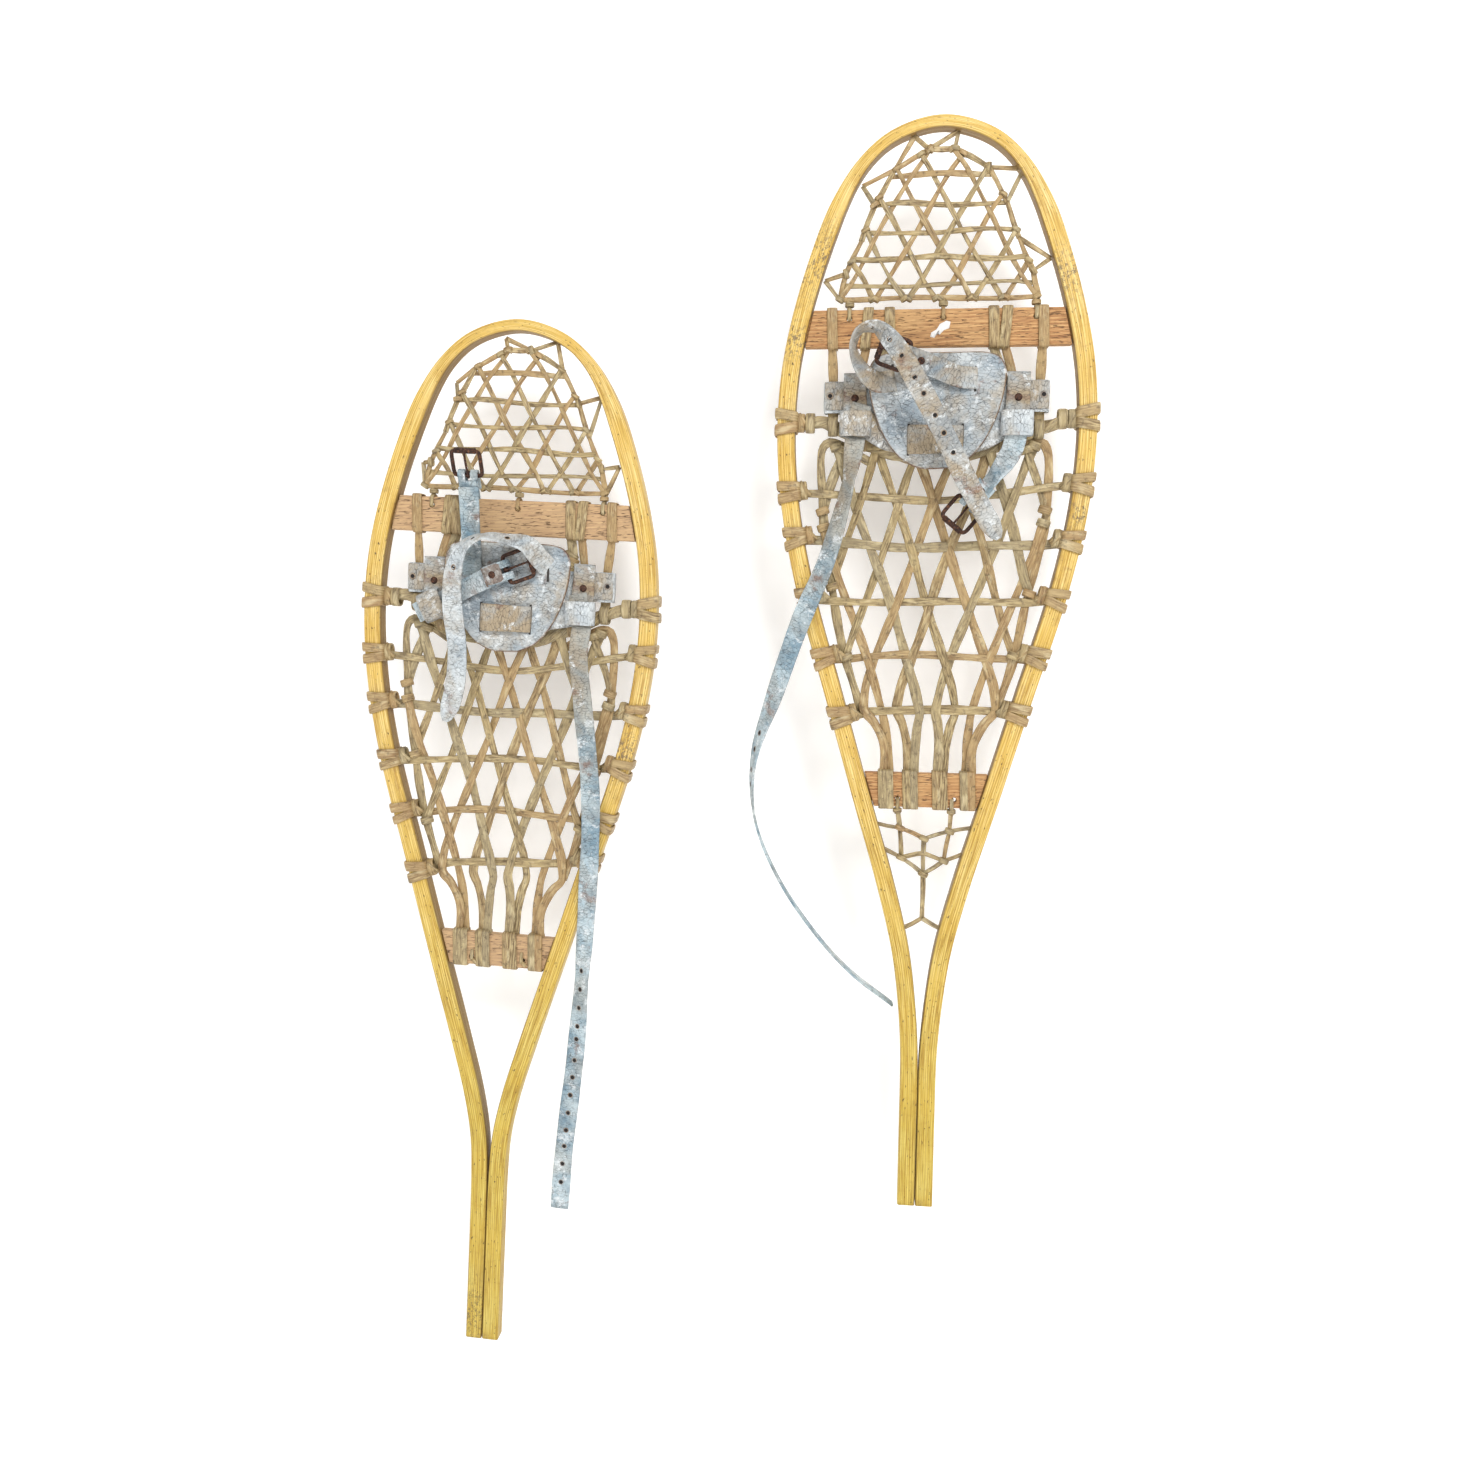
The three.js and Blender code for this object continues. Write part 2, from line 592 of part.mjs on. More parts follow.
// a rivet with its head in front of the ear tab and its shank through it
function earRivet(side) {
  const u = side * EAR.u;
  const face = EAR.front - GAP;
  return roundAlongY(u, EAR.rivet, RIVET_HEAD_RADIUS, face - RIVET_HEAD_HEIGHT, face)
    .add(roundAlongY(u, EAR.rivet, RIVET_SHANK_RADIUS, face - RIVET_HEAD_HEIGHT / 2, EAR.back));
}

// the run behind the pad and the two passes through its slits
function toeStrapRun(mirror) {
  const middle = (TOE_SLITS.low + TOE_SLITS.high) / 2;
  const [w0, w1] = [middle - STRAP_WIDTH / 2, middle + STRAP_WIDTH / 2];
  const back = PAD_BACK + GAP;
  const half = STRAP_THICKNESS / 2;
  return [
    block(TOE_SLITS.buckle - half, TOE_SLITS.free + half, back, back + STRAP_THICKNESS, w0, w1),
    block(TOE_SLITS.buckle - half, TOE_SLITS.buckle + half, PAD_FRONT - 3, back + 1, w0, w1),
    block(TOE_SLITS.free - half, TOE_SLITS.free + half, PAD_FRONT - 3, back + 1, w0, w1),
  ].map((solid) => (mirror > 0 ? solid : solid.mirror([1, 0, 0])));
}

// How each shoe's straps hang: stations [u, y, w, twist].
// A buckle's turn is the way it points in the plane of the shoe, its tilt how far it leans out of it.
const LEFT_STRAPS = {
  toeBuckleEnd: [
    [-36, -27, 820, 0], [-36, -30, 838, 0], [-36, -35, 857, 0], [-37, -38, 880, 0], [-38, -40, 899, 0],
  ],
  toeFreeEnd: [
    [42, -26, 824, 0], [36, -34, 832, 12], [24, -46, 846, 35], [4, -49, 850, 62], [-18, -53, 851, 72],
    [-37, -53, 840, 45], [-47, -51, 815, 12], [-50, -44, 780, 0], [-49, -35, 740, 0],
    [-51, -29, 700, 0], [-56, -26, 664, 0],
  ],
  long: [
    [78, -25, 764, 0], [76, -25, 740, 0], [82, -25, 694, 0], [95, -25, 593, 0], [96, -25, 489, 0],
    [94, -25, 410, 35], [91, -25, 330, 10], [83, -25, 220, 0], [81, -25, 160, 0],
  ],
  short: [
    [-82, -25.4, 778, 0], [-71, -25.4, 783.4, 0], [-60, -25.8, 788.8, 0], [-34, -31, 803, 0],
    [-11, -33, 815, 0],
  ],
  toeBuckle: { at: [-38, -41, 911], turn: -90, tilt: -32 },
  heelBuckle: { at: [2, -33, 820], turn: -22, tilt: 0 },
};
const RIGHT_STRAPS = {
  toeBuckleEnd: [[36, -27, 822, 0], [20, -30, 824, 0], [0, -33, 831, 0], [-18, -36, 837, 0]],
  toeFreeEnd: [
    [-42, -27, 821, 0], [-56, -33, 819, 10], [-70, -42, 828, 40], [-79, -52, 846, 72],
    [-74, -58, 860, 82], [-60, -61, 863, 70], [-44, -61, 850, 35], [-20, -57, 814, 6],
    [6, -51, 768, 0], [34, -45, 716, 0], [61, -40, 672, 0],
  ],
  long: [
    [-76, -25, 764, 0], [-81, -27, 729, 30], [-101, -28, 652, 10], [-125, -27, 593, 0],
    [-150, -22, 520, 30], [-171, -13, 453, 70], [-170, -4, 393, 84], [-147, 4, 332, 86],
    [-107, 10, 272, 86], [-70, 13, 232, 86], [-27, 14, 200, 86],
  ],
  short: [[74, -27, 763, 0], [70, -28, 752, 0], [56, -30, 731, 30], [42, -30, 715, 30]],
  toeBuckle: { at: [-30, -39, 841], turn: -160, tilt: 0 },
  heelBuckle: { at: [34, -30, 705], turn: 130, tilt: 0 },
};

// a buckle frame lying along its own first axis, its prong bar at the start of that axis
function buckleFrame() {
  const { length, height, wire } = BUCKLE;
  return block(-wire / 2, length - wire / 2, -wire / 2, wire / 2, -height / 2, height / 2)
    .subtract(block(wire / 2, length - 1.5 * wire, -wire, wire, wire - height / 2, height / 2 - wire));
}

function buckleProng() {
  const { length, wire, barHole, prong } = BUCKLE;
  const eye = barHole + 2.8;
  const front = -wire / 2 - GAP;
  return block(-eye / 2, eye / 2, -eye / 2, eye / 2, -prong / 2, prong / 2)
    .add(block(0, length - wire / 2 + 1, front - prong, front, -prong / 2, prong / 2))
    .subtract(block(-barHole / 2, barHole / 2, -barHole / 2, barHole / 2, -prong, prong));
}

// the leather folded round a prong bar, with a slot for the prong's eye
function buckleFold() {
  const { wire, barHole } = BUCKLE;
  const hole = wire + 2 * GAP;
  const outer = hole + 2 * STRAP_THICKNESS;
  const half = STRAP_WIDTH / 2;
  return block(-FOLD.reach, outer / 2, -outer / 2, outer / 2, -half, half)
    .subtract(block(-hole / 2, hole / 2, -hole / 2, hole / 2, -half - 1, half + 1))
    .subtract(block(-barHole - 2, outer, -outer, outer, -FOLD.slot / 2, FOLD.slot / 2));
}

// moves something built in a buckle's space to where the buckle hangs
function placed(solid, { at, turn, tilt }) {
  const matrix = new THREE.Matrix4().makeTranslation(...at);
  matrix.multiply(new THREE.Matrix4().makeRotationY(THREE.MathUtils.degToRad(turn)));
  matrix.multiply(new THREE.Matrix4().makeRotationZ(THREE.MathUtils.degToRad(tilt)));
  return solid.transform(matrix.elements.slice());
}

// ---------- assembly ----------
function addPiece(shoe, name, solid, finish) {
  const mesh = new THREE.Mesh(toGeometry(solid), new THREE.MeshStandardMaterial(finish));
  mesh.name = `${shoe.name}_${name}`;
  shoe.group.add(mesh);
}

function addFrame(shoe) {
  addPiece(shoe, 'frame_rail', frameRail(shoe), FINISH.rail);
  addPiece(shoe, 'toe_crossbar', crossbar(shoe, TOE_BAR, TOE_BAR_HOLES), FINISH.bar);
  addPiece(shoe, 'heel_crossbar', crossbar(shoe, HEEL_BAR, HEEL_BAR_HOLES), FINISH.bar);
}

function addRawhide(shoe) {
  addPiece(shoe, 'toe_lacing', toeLacing(shoe), FINISH.rawhide);
  addPiece(shoe, 'centre_lacing', centreLacing(shoe), FINISH.rawhide);
  addPiece(shoe, 'toe_cord', toeCord(shoe), FINISH.rawhide);
  addPiece(shoe, 'side_strands_l', sideStrands(-1), FINISH.rawhide);
  addPiece(shoe, 'side_strands_r', sideStrands(1), FINISH.rawhide);
  if (shoe.heelTies) {
    addPiece(shoe, 'heel_lacing', heelLacing(shoe), FINISH.rawhide);
  }
}

function addPad(shoe) {
  const padSolid = shoe.mirror > 0 ? pad() : pad().mirror([1, 0, 0]);
  addPiece(shoe, 'pad', padSolid, FINISH.leather);
  addPiece(shoe, 'cross_strap', crossStrap(shoe), FINISH.leather);
  for (const [side, tag] of [[-1, 'l'], [1, 'r']]) {
    addPiece(shoe, `side_band_${tag}`, sideBand(side), FINISH.leather);
    addPiece(shoe, `ear_tab_${tag}`, earTab(side), FINISH.leather);
    addPiece(shoe, `ear_rivet_${tag}`, earRivet(side), FINISH.iron);
  }
}

function addStraps(shoe, straps) {
  const { toeBuckle, heelBuckle } = straps;
  const toeStrap = union([
    ...toeStrapRun(shoe.mirror),
    ribbon(straps.toeBuckleEnd, STRAP_WIDTH, RIBBON_STEPS.toeBuckle),
    ribbon(straps.toeFreeEnd, STRAP_WIDTH, RIBBON_STEPS.toeFree),
    placed(buckleFold(), toeBuckle),
  ]);
  const shortStrap = union([
    ribbon(straps.short, STRAP_WIDTH, RIBBON_STEPS.short),
    placed(buckleFold(), heelBuckle),
  ]);
  const longStrap = ribbon(straps.long, STRAP_WIDTH - 1, RIBBON_STEPS.long);
  addPiece(shoe, 'toe_strap', toeStrap, FINISH.leather);
  addPiece(shoe, 'toe_buckle', placed(buckleFrame(), toeBuckle), FINISH.iron);
  addPiece(shoe, 'toe_buckle_prong', placed(buckleProng(), toeBuckle), FINISH.iron);
  addPiece(shoe, 'heel_strap_long', longStrap, FINISH.strap);
  addPiece(shoe, 'heel_strap_short', shortStrap, FINISH.strap);
  addPiece(shoe, 'heel_buckle', placed(buckleFrame(), heelBuckle), FINISH.iron);
  addPiece(shoe, 'heel_buckle_prong', placed(buckleProng(), heelBuckle), FINISH.iron);
}

const pair = new THREE.Group();
for (const [shoe, straps] of [[LEFT, LEFT_STRAPS], [RIGHT, RIGHT_STRAPS]]) {
  shoe.stations = staveStations(shoe);
  shoe.group = new THREE.Group();
  shoe.group.position.set(shoe.x, 0, shoe.z);
  shoe.group.rotation.y = THREE.MathUtils.degToRad(shoe.lean);
  addFrame(shoe);
  addRawhide(shoe);
  addPad(shoe);
  addStraps(shoe, straps);
  pair.add(shoe.group);
}

// the pair's origin is the bottom middle of its box
pair.updateMatrixWorld(true);
const box = new THREE.Box3().setFromObject(pair, true);
const middle = box.getCenter(new THREE.Vector3());
pair.position.set(-middle.x, -middle.y, -box.min.z);

const group = new THREE.Group();
group.add(pair);

export default group;
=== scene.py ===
"""Looks for a pair of wood-and-rawhide snowshoes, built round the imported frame.

Shapes are worked out in each shoe's own space, in millimetres: u across, y from front (-) to back,
w up from the tail end. Shoe.place() turns them into the row frame, in metres.
"""

import math

import bpy
import numpy as np
from mathutils import Matrix, Vector


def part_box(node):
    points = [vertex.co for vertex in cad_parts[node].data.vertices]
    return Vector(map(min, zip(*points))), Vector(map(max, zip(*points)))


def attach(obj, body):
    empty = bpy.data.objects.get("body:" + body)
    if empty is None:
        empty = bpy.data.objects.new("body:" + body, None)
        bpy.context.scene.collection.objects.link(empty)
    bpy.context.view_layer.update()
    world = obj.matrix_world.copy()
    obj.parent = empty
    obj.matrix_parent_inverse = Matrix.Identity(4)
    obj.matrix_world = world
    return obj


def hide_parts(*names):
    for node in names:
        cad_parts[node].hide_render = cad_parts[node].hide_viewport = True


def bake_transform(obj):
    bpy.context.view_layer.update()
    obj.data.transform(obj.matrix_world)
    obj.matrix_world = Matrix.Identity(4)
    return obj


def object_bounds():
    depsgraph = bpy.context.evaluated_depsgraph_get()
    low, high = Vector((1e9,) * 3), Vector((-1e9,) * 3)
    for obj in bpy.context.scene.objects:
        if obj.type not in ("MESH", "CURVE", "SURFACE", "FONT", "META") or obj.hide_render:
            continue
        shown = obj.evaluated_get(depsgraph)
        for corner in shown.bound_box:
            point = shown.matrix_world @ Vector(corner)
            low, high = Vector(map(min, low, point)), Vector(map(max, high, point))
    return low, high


MM = 0.001
SEED = 11
DEPTH = np.array([0.0, 1.0, 0.0])

# ---------- the frame ----------
RAIL_SIZE = 18.0
TOE_BEND_WIDTH = 11.5  # the stave is shaved thinner where it bends round the toe
TOE_BEND = (965, 1050)
RAIL_CORNER = 2.2
SEAM = 0.3
TAIL_STRAIGHT = [(0, 18), (70, 18), (135, 18)]
BODY_OUTLINE = [
    (330, 46), (420, 72.6), (520, 101.5), (620, 130.5), (700, 146.5), (770, 152),
    (830, 149), (880, 140), (940, 123), (990, 103.5), (1030, 77), (1055, 46),
]
TOE_TOP = 1067
TOE_BAR_W = 873
HEEL_BAR_W = 427
BAR_HEIGHT = 35
BAR_DEPTH = 10
BAR_Y = -9
NET_Y = -9.2

# ---------- rawhide ----------
FINE = 5.0
COARSE = 8.6
WEAVE_LIFT = 1.5
TOE_NET_EDGE = [(12, 1038), (44, 1020), (62, 988), (74, 955), (88, 925), (94, 901)]
TOE_PITCH = 31
TOE_SLOPE = 0.6
TOE_LEVEL = 950.5  # the diagonals cross midway between rows, which leaves six-sided holes
CENTRE_PITCH = 36
CENTRE_SLOPE = 0.34
CENTRE_EDGE = [(58, 745), (104, 766), (108, 716), (104, 670), (94, 618), (82, 562), (66, 506)]
HEEL_WRAPS = [-39, -15, 14, 41]
TOE_HOLES = [(-84, 882), (5, 882), (92, 882)]
CENTRE_TOP = (0, 742)
CENTRE_LEVEL = 693
CENTRE_FOOT = 509  # a slanting strand that ends below this runs on to the heel bar
CORD_REACH = 60  # a slanting strand that ends this near the middle runs up to the toe cord
# a hitch's width, thickness and half sizes
TOE_HITCH = (4.2, 1.6, 3.6, 3.2)
CENTRE_HITCH = (7.5, 2.0, 5.6, 4.6)

# ---------- the binding ----------
PAD_EDGE = [
    (14, 739), (32, 748), (47, 766), (58, 790), (64, 815), (64, 833), (58, 843), (46, 847),
    (22, 847.5),
]
PAD_Y = -23.0
PAD_HALF = 2.0
PAD_MIDDLE = 796.0
SLIT_Y = -25.9
STRAP = 20.0
STRAP_THICK = 2.6
SLIT_W = (811, 836)
STRAP_SLITS = (-36, 42)
PATCH_SLIT = 25.5
LOOP_U = 76
LOOP_W = 781
EAR_U = 77
RIVET_W = 806

# ---------- the buckles ----------
FRAME_MIDDLE = 12
FRAME_HALF = (13.2, 14.2)
FRAME_WIRE = 2.0
BAR_WIRE = 1.5
ROLLER_WIRE = 2.8
PRONG_WIRE = 1.15
PRONG_EYE = 2.9

# ---------- the studio, in metres and degrees ----------
WALL_GAP = 0.055
FLOOR_DROP = 0.8
FLOOR_BEND = 0.6
STUDIO_REACH = 6.0
CAMERA_TURNS = (-6.58, -5.39, -1.08)  # pan, tilt and roll
CAMERA_FIELD = 61.135
CAMERA_FROM_TAIL = (-0.0411, -1.2181, 0.6059)
SENSOR = 36

LEFT = {
    "name": "left",
    "crotch": [(178, 18.3), (222, 20.5), (266, 28.4)],
    "toe_rows": [1014, 987, 963, 939, 915],
    "toe_anchors": [(-15, 1049), (38, 1047), (-64, 1004), (85, 995), (-96, 924), (106, 928)],
    "rows": [(728, 719, 742), (677, 675, 681), (618, 627, 624), (563, 573, 568), (502, 520, 525)],
    "cord": [
        (-146, 787), (-128, 789), (-106, 789), (-56, 756), (10, 747), (68, 766), (104, 783), (128, 788),
        (146, 789),
    ],
    "strands": {"l": [(-70, -58), (-78, -67), (-97, -99)], "r": [(66, 60), (76, 71), (98, 102)]},
    "heel_holes": [(-26, 424), (27, 425)],
    "scrapes": [(-1, 30, 30), (1, 640, 25)],
    "side": 1,
    "loop_turn": {"l": 64, "r": 0},
    "patch_w": 772,
    "bar_fade": 0.45,
}
RIGHT = {
    "name": "right",
    "crotch": [(160, 18.5), (205, 21.8), (262, 29.4)],
    "toe_rows": [1014, 988, 963, 938, 914],
    "toe_anchors": [(-26, 1050), (15, 1054), (-74, 1006), (76, 1018), (-108, 919), (104, 936)],
    "rows": [(717, 711, 725), (672, 665, 670), (613, 612, 614), (554, 560, 557), (496, 507, 502)],
    "cord": [
        (-146, 785), (-128, 785), (-104, 784), (-58, 761), (0, 749), (58, 762), (100, 778), (128, 787),
        (146, 788),
    ],
    "strands": {"l": [(-69, -45), (-75, -67), (-98, -100)], "r": [(66, 53), (75, 64), (98, 99)]},
    "heel_holes": [(-27, 417), (26, 417)],
    "scrapes": [(-1, 940, 32), (-1, 862, 18), (1, 925, 22), (1, 695, 12)],
    "side": -1,
    "loop_turn": {"l": 0, "r": 0},
    "patch_w": 766,
    "bar_fade": 0.05,
}
HEEL_WEB = [
    [(0, 342), (1, 318), (0, 297)], [(0, 297), (-14, 289), (-21, 285)], [(0, 297), (13, 290), (20, 286)],
    [(0, 342), (-22, 358)], [(0, 342), (20, 356)], [(0, 342), (0, 378)],
    [(-22, 358), (-24, 388)], [(20, 356), (25, 386)],
    [(-24, 388), (0, 378)], [(0, 378), (25, 386)],
    [(-24, 388), (-27, 412)], [(25, 386), (26, 412)],
    [(-24, 388), (-48, 392)], [(25, 386), (47, 390)], [(-22, 358), (-41, 367)], [(20, 356), (40, 364)],
    [(-22, 358), (0, 364), (20, 356)],
]

# stations [u, y, w, twist in degrees] of each strap
STRAPS = {
    "left": {
        "toe_buckle": [
            (-36, -21, 806, 0), (-36, -27, 820, 0), (-36, -30, 838, 0), (-36, -35, 857, 0),
            (-37, -38, 880, 0), (-38, -40, 899, 0),
        ],
        "toe_free": [
            (48, -19, 823, 0), (43, -24, 824, 4), (36, -34, 832, 12), (24, -46, 846, 35), (4, -49, 850, 62),
            (-18, -53, 851, 72), (-37, -53, 840, 45), (-47, -51, 815, 12), (-49, -44, 780, 0),
            (-46, -35, 740, 0), (-49, -29, 700, 0), (-59, -26, 664, 0),
        ],
        "long": [
            (78.2, -25, 769, 0), (76, -25, 740, 0), (82, -25, 694, 0), (95, -25, 593, 0), (96, -25, 489, 0),
            (94, -25, 410, 35), (91, -25, 330, 10), (83, -25, 220, 0), (81, -25, 160, 0),
        ],
        "root": [(72, -22, 800, 0), (75, -24.6, 786, 0), (77.6, -24.8, 765.5, 0)],
        "short": [
            (-93, -24, 772, 0), (-82, -25.4, 778, 0), (-71, -25.4, 783.4, 0), (-60, -25.8, 788.8, 0),
            (-34, -31, 803, 0), (-7, -33.6, 816.5, 0),
        ],
        "toe_at": ((-38, -41, 911), -90, -32),
        "heel_at": ((2, -33, 820), -22, 0),
        "run": [(-36, -20, 823.5, 0), (3, -19.6, 824, 0), (42, -20, 823.5, 0)],
        "free_holes": (62, 34, 3),
        "long_holes": (350, 19, 13),
    },
    "right": {
        "toe_buckle": [
            (42, -19, 823, 0), (36, -26, 823, 0), (20, -30, 824, 0), (0, -33, 831, 0), (-22, -37, 838.6, 0),
        ],
        "toe_free": [
            (-36, -20, 822, 0), (-42, -27, 821, 0), (-56, -33, 819, 10), (-70, -42, 828, 40),
            (-79, -52, 846, 72), (-74, -60, 860, 82), (-60, -65, 863, 70), (-44, -67, 850, 35),
            (-20, -64, 814, 6), (6, -57, 768, 0), (34, -47, 716, 0), (61, -40, 672, 0),
        ],
        "long": [
            (-75.8, -25, 769, 0), (-81, -27, 729, 52), (-101, -28, 652, 24), (-125, -27, 593, 0),
            (-150, -22, 520, 30), (-171, -13, 453, 70), (-170, -4, 393, 84), (-147, 4, 332, 86),
            (-107, 10, 272, 86), (-70, 13, 232, 86), (-27, 14, 200, 86),
        ],
        "root": [(-70, -22, 800, 0), (-74, -24.6, 786, 0), (-75.9, -24.8, 765.5, 0)],
        "short": [
            (76, -26, 778, 0), (74, -27, 763, 0), (70, -28, 752, 0), (56, -30, 731, 50), (38, -30, 710, 50),
        ],
        "toe_at": ((-30, -39, 841), -160, 0),
        "heel_at": ((34, -30, 705), 130, 0),
        "run": [(-42, -20, 823.5, 0), (-3, -19.6, 824, 0), (36, -20, 823.5, 0)],
        "free_holes": (98, 19.5, 8),
        "long_holes": (300, 19, 9),
    },
}


# ---------- curves ----------
def catmull(points, per_span):
    """A centripetal Catmull-Rom curve through points, the same curve the CAD uses."""
    p = np.array(points, float)
    p = np.vstack([2 * p[0] - p[1], p, 2 * p[-1] - p[-2]])
    out = []
    for i in range(1, len(p) - 2):
        gaps = [max(np.linalg.norm(p[i + k] - p[i + k - 1]), 1e-6) ** 0.5 for k in range(3)]
        d0, d1, d2 = gaps
        a, b, c, d = p[i - 1 : i + 3]
        t1 = ((b - a) / d0 - (c - a) / (d0 + d1) + (c - b) / d1) * d1
        t2 = ((c - b) / d1 - (d - b) / (d1 + d2) + (d - c) / d2) * d1
        for t in np.arange(per_span) / per_span:
            out.append(
                b + t1 * t + (3 * c - 3 * b - 2 * t1 - t2) * t**2 + (2 * b - 2 * c + t1 + t2) * t**3
            )
    out.append(p[-2])
    return np.array(out)


def lengths(points):
    steps = np.linalg.norm(np.diff(points, axis=0), axis=1)
    return np.concatenate([[0.0], np.cumsum(steps)])


def evenly(points, step):
    """Points every step along a polyline, ends kept."""
    s = lengths(points)
    count = max(int(round(s[-1] / step)), 2)
    at = np.linspace(0, s[-1], count + 1)
    return np.column_stack([np.interp(at, s, points[:, k]) for k in range(points.shape[1])])


def unit(v):
    return v / np.maximum(np.linalg.norm(v, axis=-1, keepdims=True), 1e-9)


def turned(v, axis, angle):
    """v turned about unit axis by angle, row by row."""
    c, s = np.cos(angle)[:, None], np.sin(angle)[:, None]
    dot = np.sum(axis * v, axis=1, keepdims=True)
    return v * c + np.cross(axis, v) * s + axis * dot * (1 - c)


def oval(points, power):
    """Unit super-ellipse section, anticlockwise."""
    a = np.linspace(0, 2 * math.pi, points, endpoint=False) + math.pi / points
    c, s = np.cos(a), np.sin(a)
    return np.column_stack(
        [np.sign(c) * np.abs(c) ** (2 / power), np.sign(s) * np.abs(s) ** (2 / power)]
    )


STRIP = oval(12, 3.2)
ROUND = oval(12, 2.0)
LEATHER = oval(16, 5.0)


# ---------- meshes ----------
class Part:
    """Swept strips gathered into one mesh, with the grain's own coordinates on each vertex."""

    def __init__(self, shoe):
        self.shoe = shoe
        self.verts, self.faces, self.grain, self.tint = [], [], [], []
        self.count = 0
        self.rng = np.random.default_rng(SEED)

    def skin(self, rings, grain, closed=False, tint=None):
        """Adds a tube of rings, capped unless it is closed."""
        n, m = rings.shape[:2]
        tint = self.rng.random() if tint is None else tint
        base = self.count
        self.verts.append(rings.reshape(-1, 3))
        self.grain.append(grain.reshape(-1, 3))
        self.tint.append(np.broadcast_to(tint, (n, m)).ravel())
        for i in range(n if closed else n - 1):
            for j in range(m):
                k = (j + 1) % m
                a, b = base + i * m, base + ((i + 1) % n) * m
                self.faces.append((a + j, a + k, b + k, b + j))
        if not closed:
            self.faces.append(tuple(base + j for j in reversed(range(m))))
            self.faces.append(tuple(base + (n - 1) * m + j for j in range(m)))
        self.count += n * m

    def sweep(self, path, across, through, half_width, half_thick, section=STRIP, closed=False, tint=None):
        """Adds a section carried along a path."""
        n = len(path)
        hw = np.broadcast_to(half_width, (n,))[:, None]
        ht = np.broadcast_to(half_thick, (n,))[:, None]
        a = section[:, 0][None, :] * hw
        b = section[:, 1][None, :] * ht
        rings = path[:, None] + across[:, None] * a[..., None] + through[:, None] * b[..., None]
        s = np.broadcast_to(lengths(path)[:, None], a.shape)
        offset = self.rng.random(3) * 300
        grain = np.stack([a + offset[0], s + offset[1], b + offset[2]], axis=-1) * MM
        self.skin(rings, grain, closed=closed, tint=tint)

    def strand(self, path, width, thick, twist=None, wobble=0.08, step=4.0):
        """A thong along a path, its flat side to the viewer unless it twists."""
        path = evenly(np.array(path, float), step)
        along = unit(np.gradient(path, axis=0))
        across = unit(np.cross(along, DEPTH))
        if twist is not None:
            across = turned(across, along, np.interp(np.linspace(0, 1, len(path)), *twist))
        through = np.cross(along, across)
        s = lengths(path)
        quick = np.sin(s / 7 + self.rng.random() * 6)
        slow = np.sin(s / 17 + self.rng.random() * 6)
        wave = 1 + wobble * quick + wobble * slow
        self.sweep(path, across, through, width / 2 * wave, thick / 2)

    def ring(self, centre, axis_a, axis_b, half_a, half_b, width, thick, shift=(0, 0), power=6, tint=None,
             steps=36, section=STRIP):
        """A closed band round something; shift slides it along its own axis, constant and with a."""
        shape = oval(steps, power)
        axis_a, axis_b = np.array(axis_a, float), np.array(axis_b, float)
        side = unit(np.cross(axis_a, axis_b))
        slide = shift[0] + shift[1] * shape[:, 0]
        path = (
            np.array(centre, float)
            + shape[:, :1] * half_a * axis_a
            + shape[:, 1:] * half_b * axis_b
            + slide[:, None] * side
        )
        along = unit(np.roll(path, -1, axis=0) - np.roll(path, 1, axis=0))
        across = np.broadcast_to(side, path.shape)
        across = unit(across - along * np.sum(across * along, axis=1, keepdims=True))
        through = np.cross(along, across)
        self.sweep(path, across, through, width / 2, thick / 2, section, closed=True, tint=tint)

    def ribbon(self, stations, width, thick=STRAP_THICK, per_span=10, point=0, tint=None, tanned=None,
               rust_at=None):
        """A strap through stations [u, y, w, twist]; returns its path, directions and lengths.

        point is the length of its tapered end, tanned the stretch over which its tan fades out and
        rust_at the place of a rust stain.
        """
        stations = np.array(stations, float)
        path = catmull(stations[:, :3], per_span)
        twist = np.interp(
            np.arange(len(path)) / per_span, np.arange(len(stations)), np.radians(stations[:, 3])
        )
        along = unit(np.gradient(path, axis=0))
        across = turned(unit(np.cross(along, DEPTH)), along, twist)
        through = np.cross(along, across)
        s = lengths(path)
        half = np.full(len(path), width / 2)
        if point:
            left = np.clip((s[-1] - s) / point, 0.0, 1.0)
            half = half * (0.28 + 0.72 * left**0.55)
        half = half * (1 + 0.025 * np.sin(s / 13 + self.rng.random() * 6))
        if tanned:
            tint = np.interp(s, tanned, (1.0, 0.3))[:, None]
        if rust_at:
            tint = (0.3 + 0.86 * np.exp(-((s - rust_at) / 8) ** 2))[:, None]
        self.sweep(path, across, through, half, thick / 2, LEATHER, tint=tint)
        return path, across, through, s

    def flat_strip(self, path, across, half_width, half_thick, tint):
        """Leather along a path, its width in one fixed direction."""
        along = unit(np.gradient(path, axis=0))
        across = np.broadcast_to(across, path.shape)
        self.sweep(path, across, np.cross(along, across), half_width, half_thick, LEATHER, tint=tint)

    def wire(self, path, radius, closed=False):
        """A round wire along a path."""
        path = np.array(path, float)
        if closed:
            along = unit(np.roll(path, -1, axis=0) - np.roll(path, 1, axis=0))
        else:
            along = unit(np.gradient(path, axis=0))
        helper = np.where(np.abs(along[:, 1:2]) > 0.9, [[1.0, 0.0, 0.0]], [[0.0, 1.0, 0.0]])
        across = unit(np.cross(along, helper))
        through = np.cross(along, across)
        self.sweep(path, across, through, radius, radius, ROUND, closed=closed)

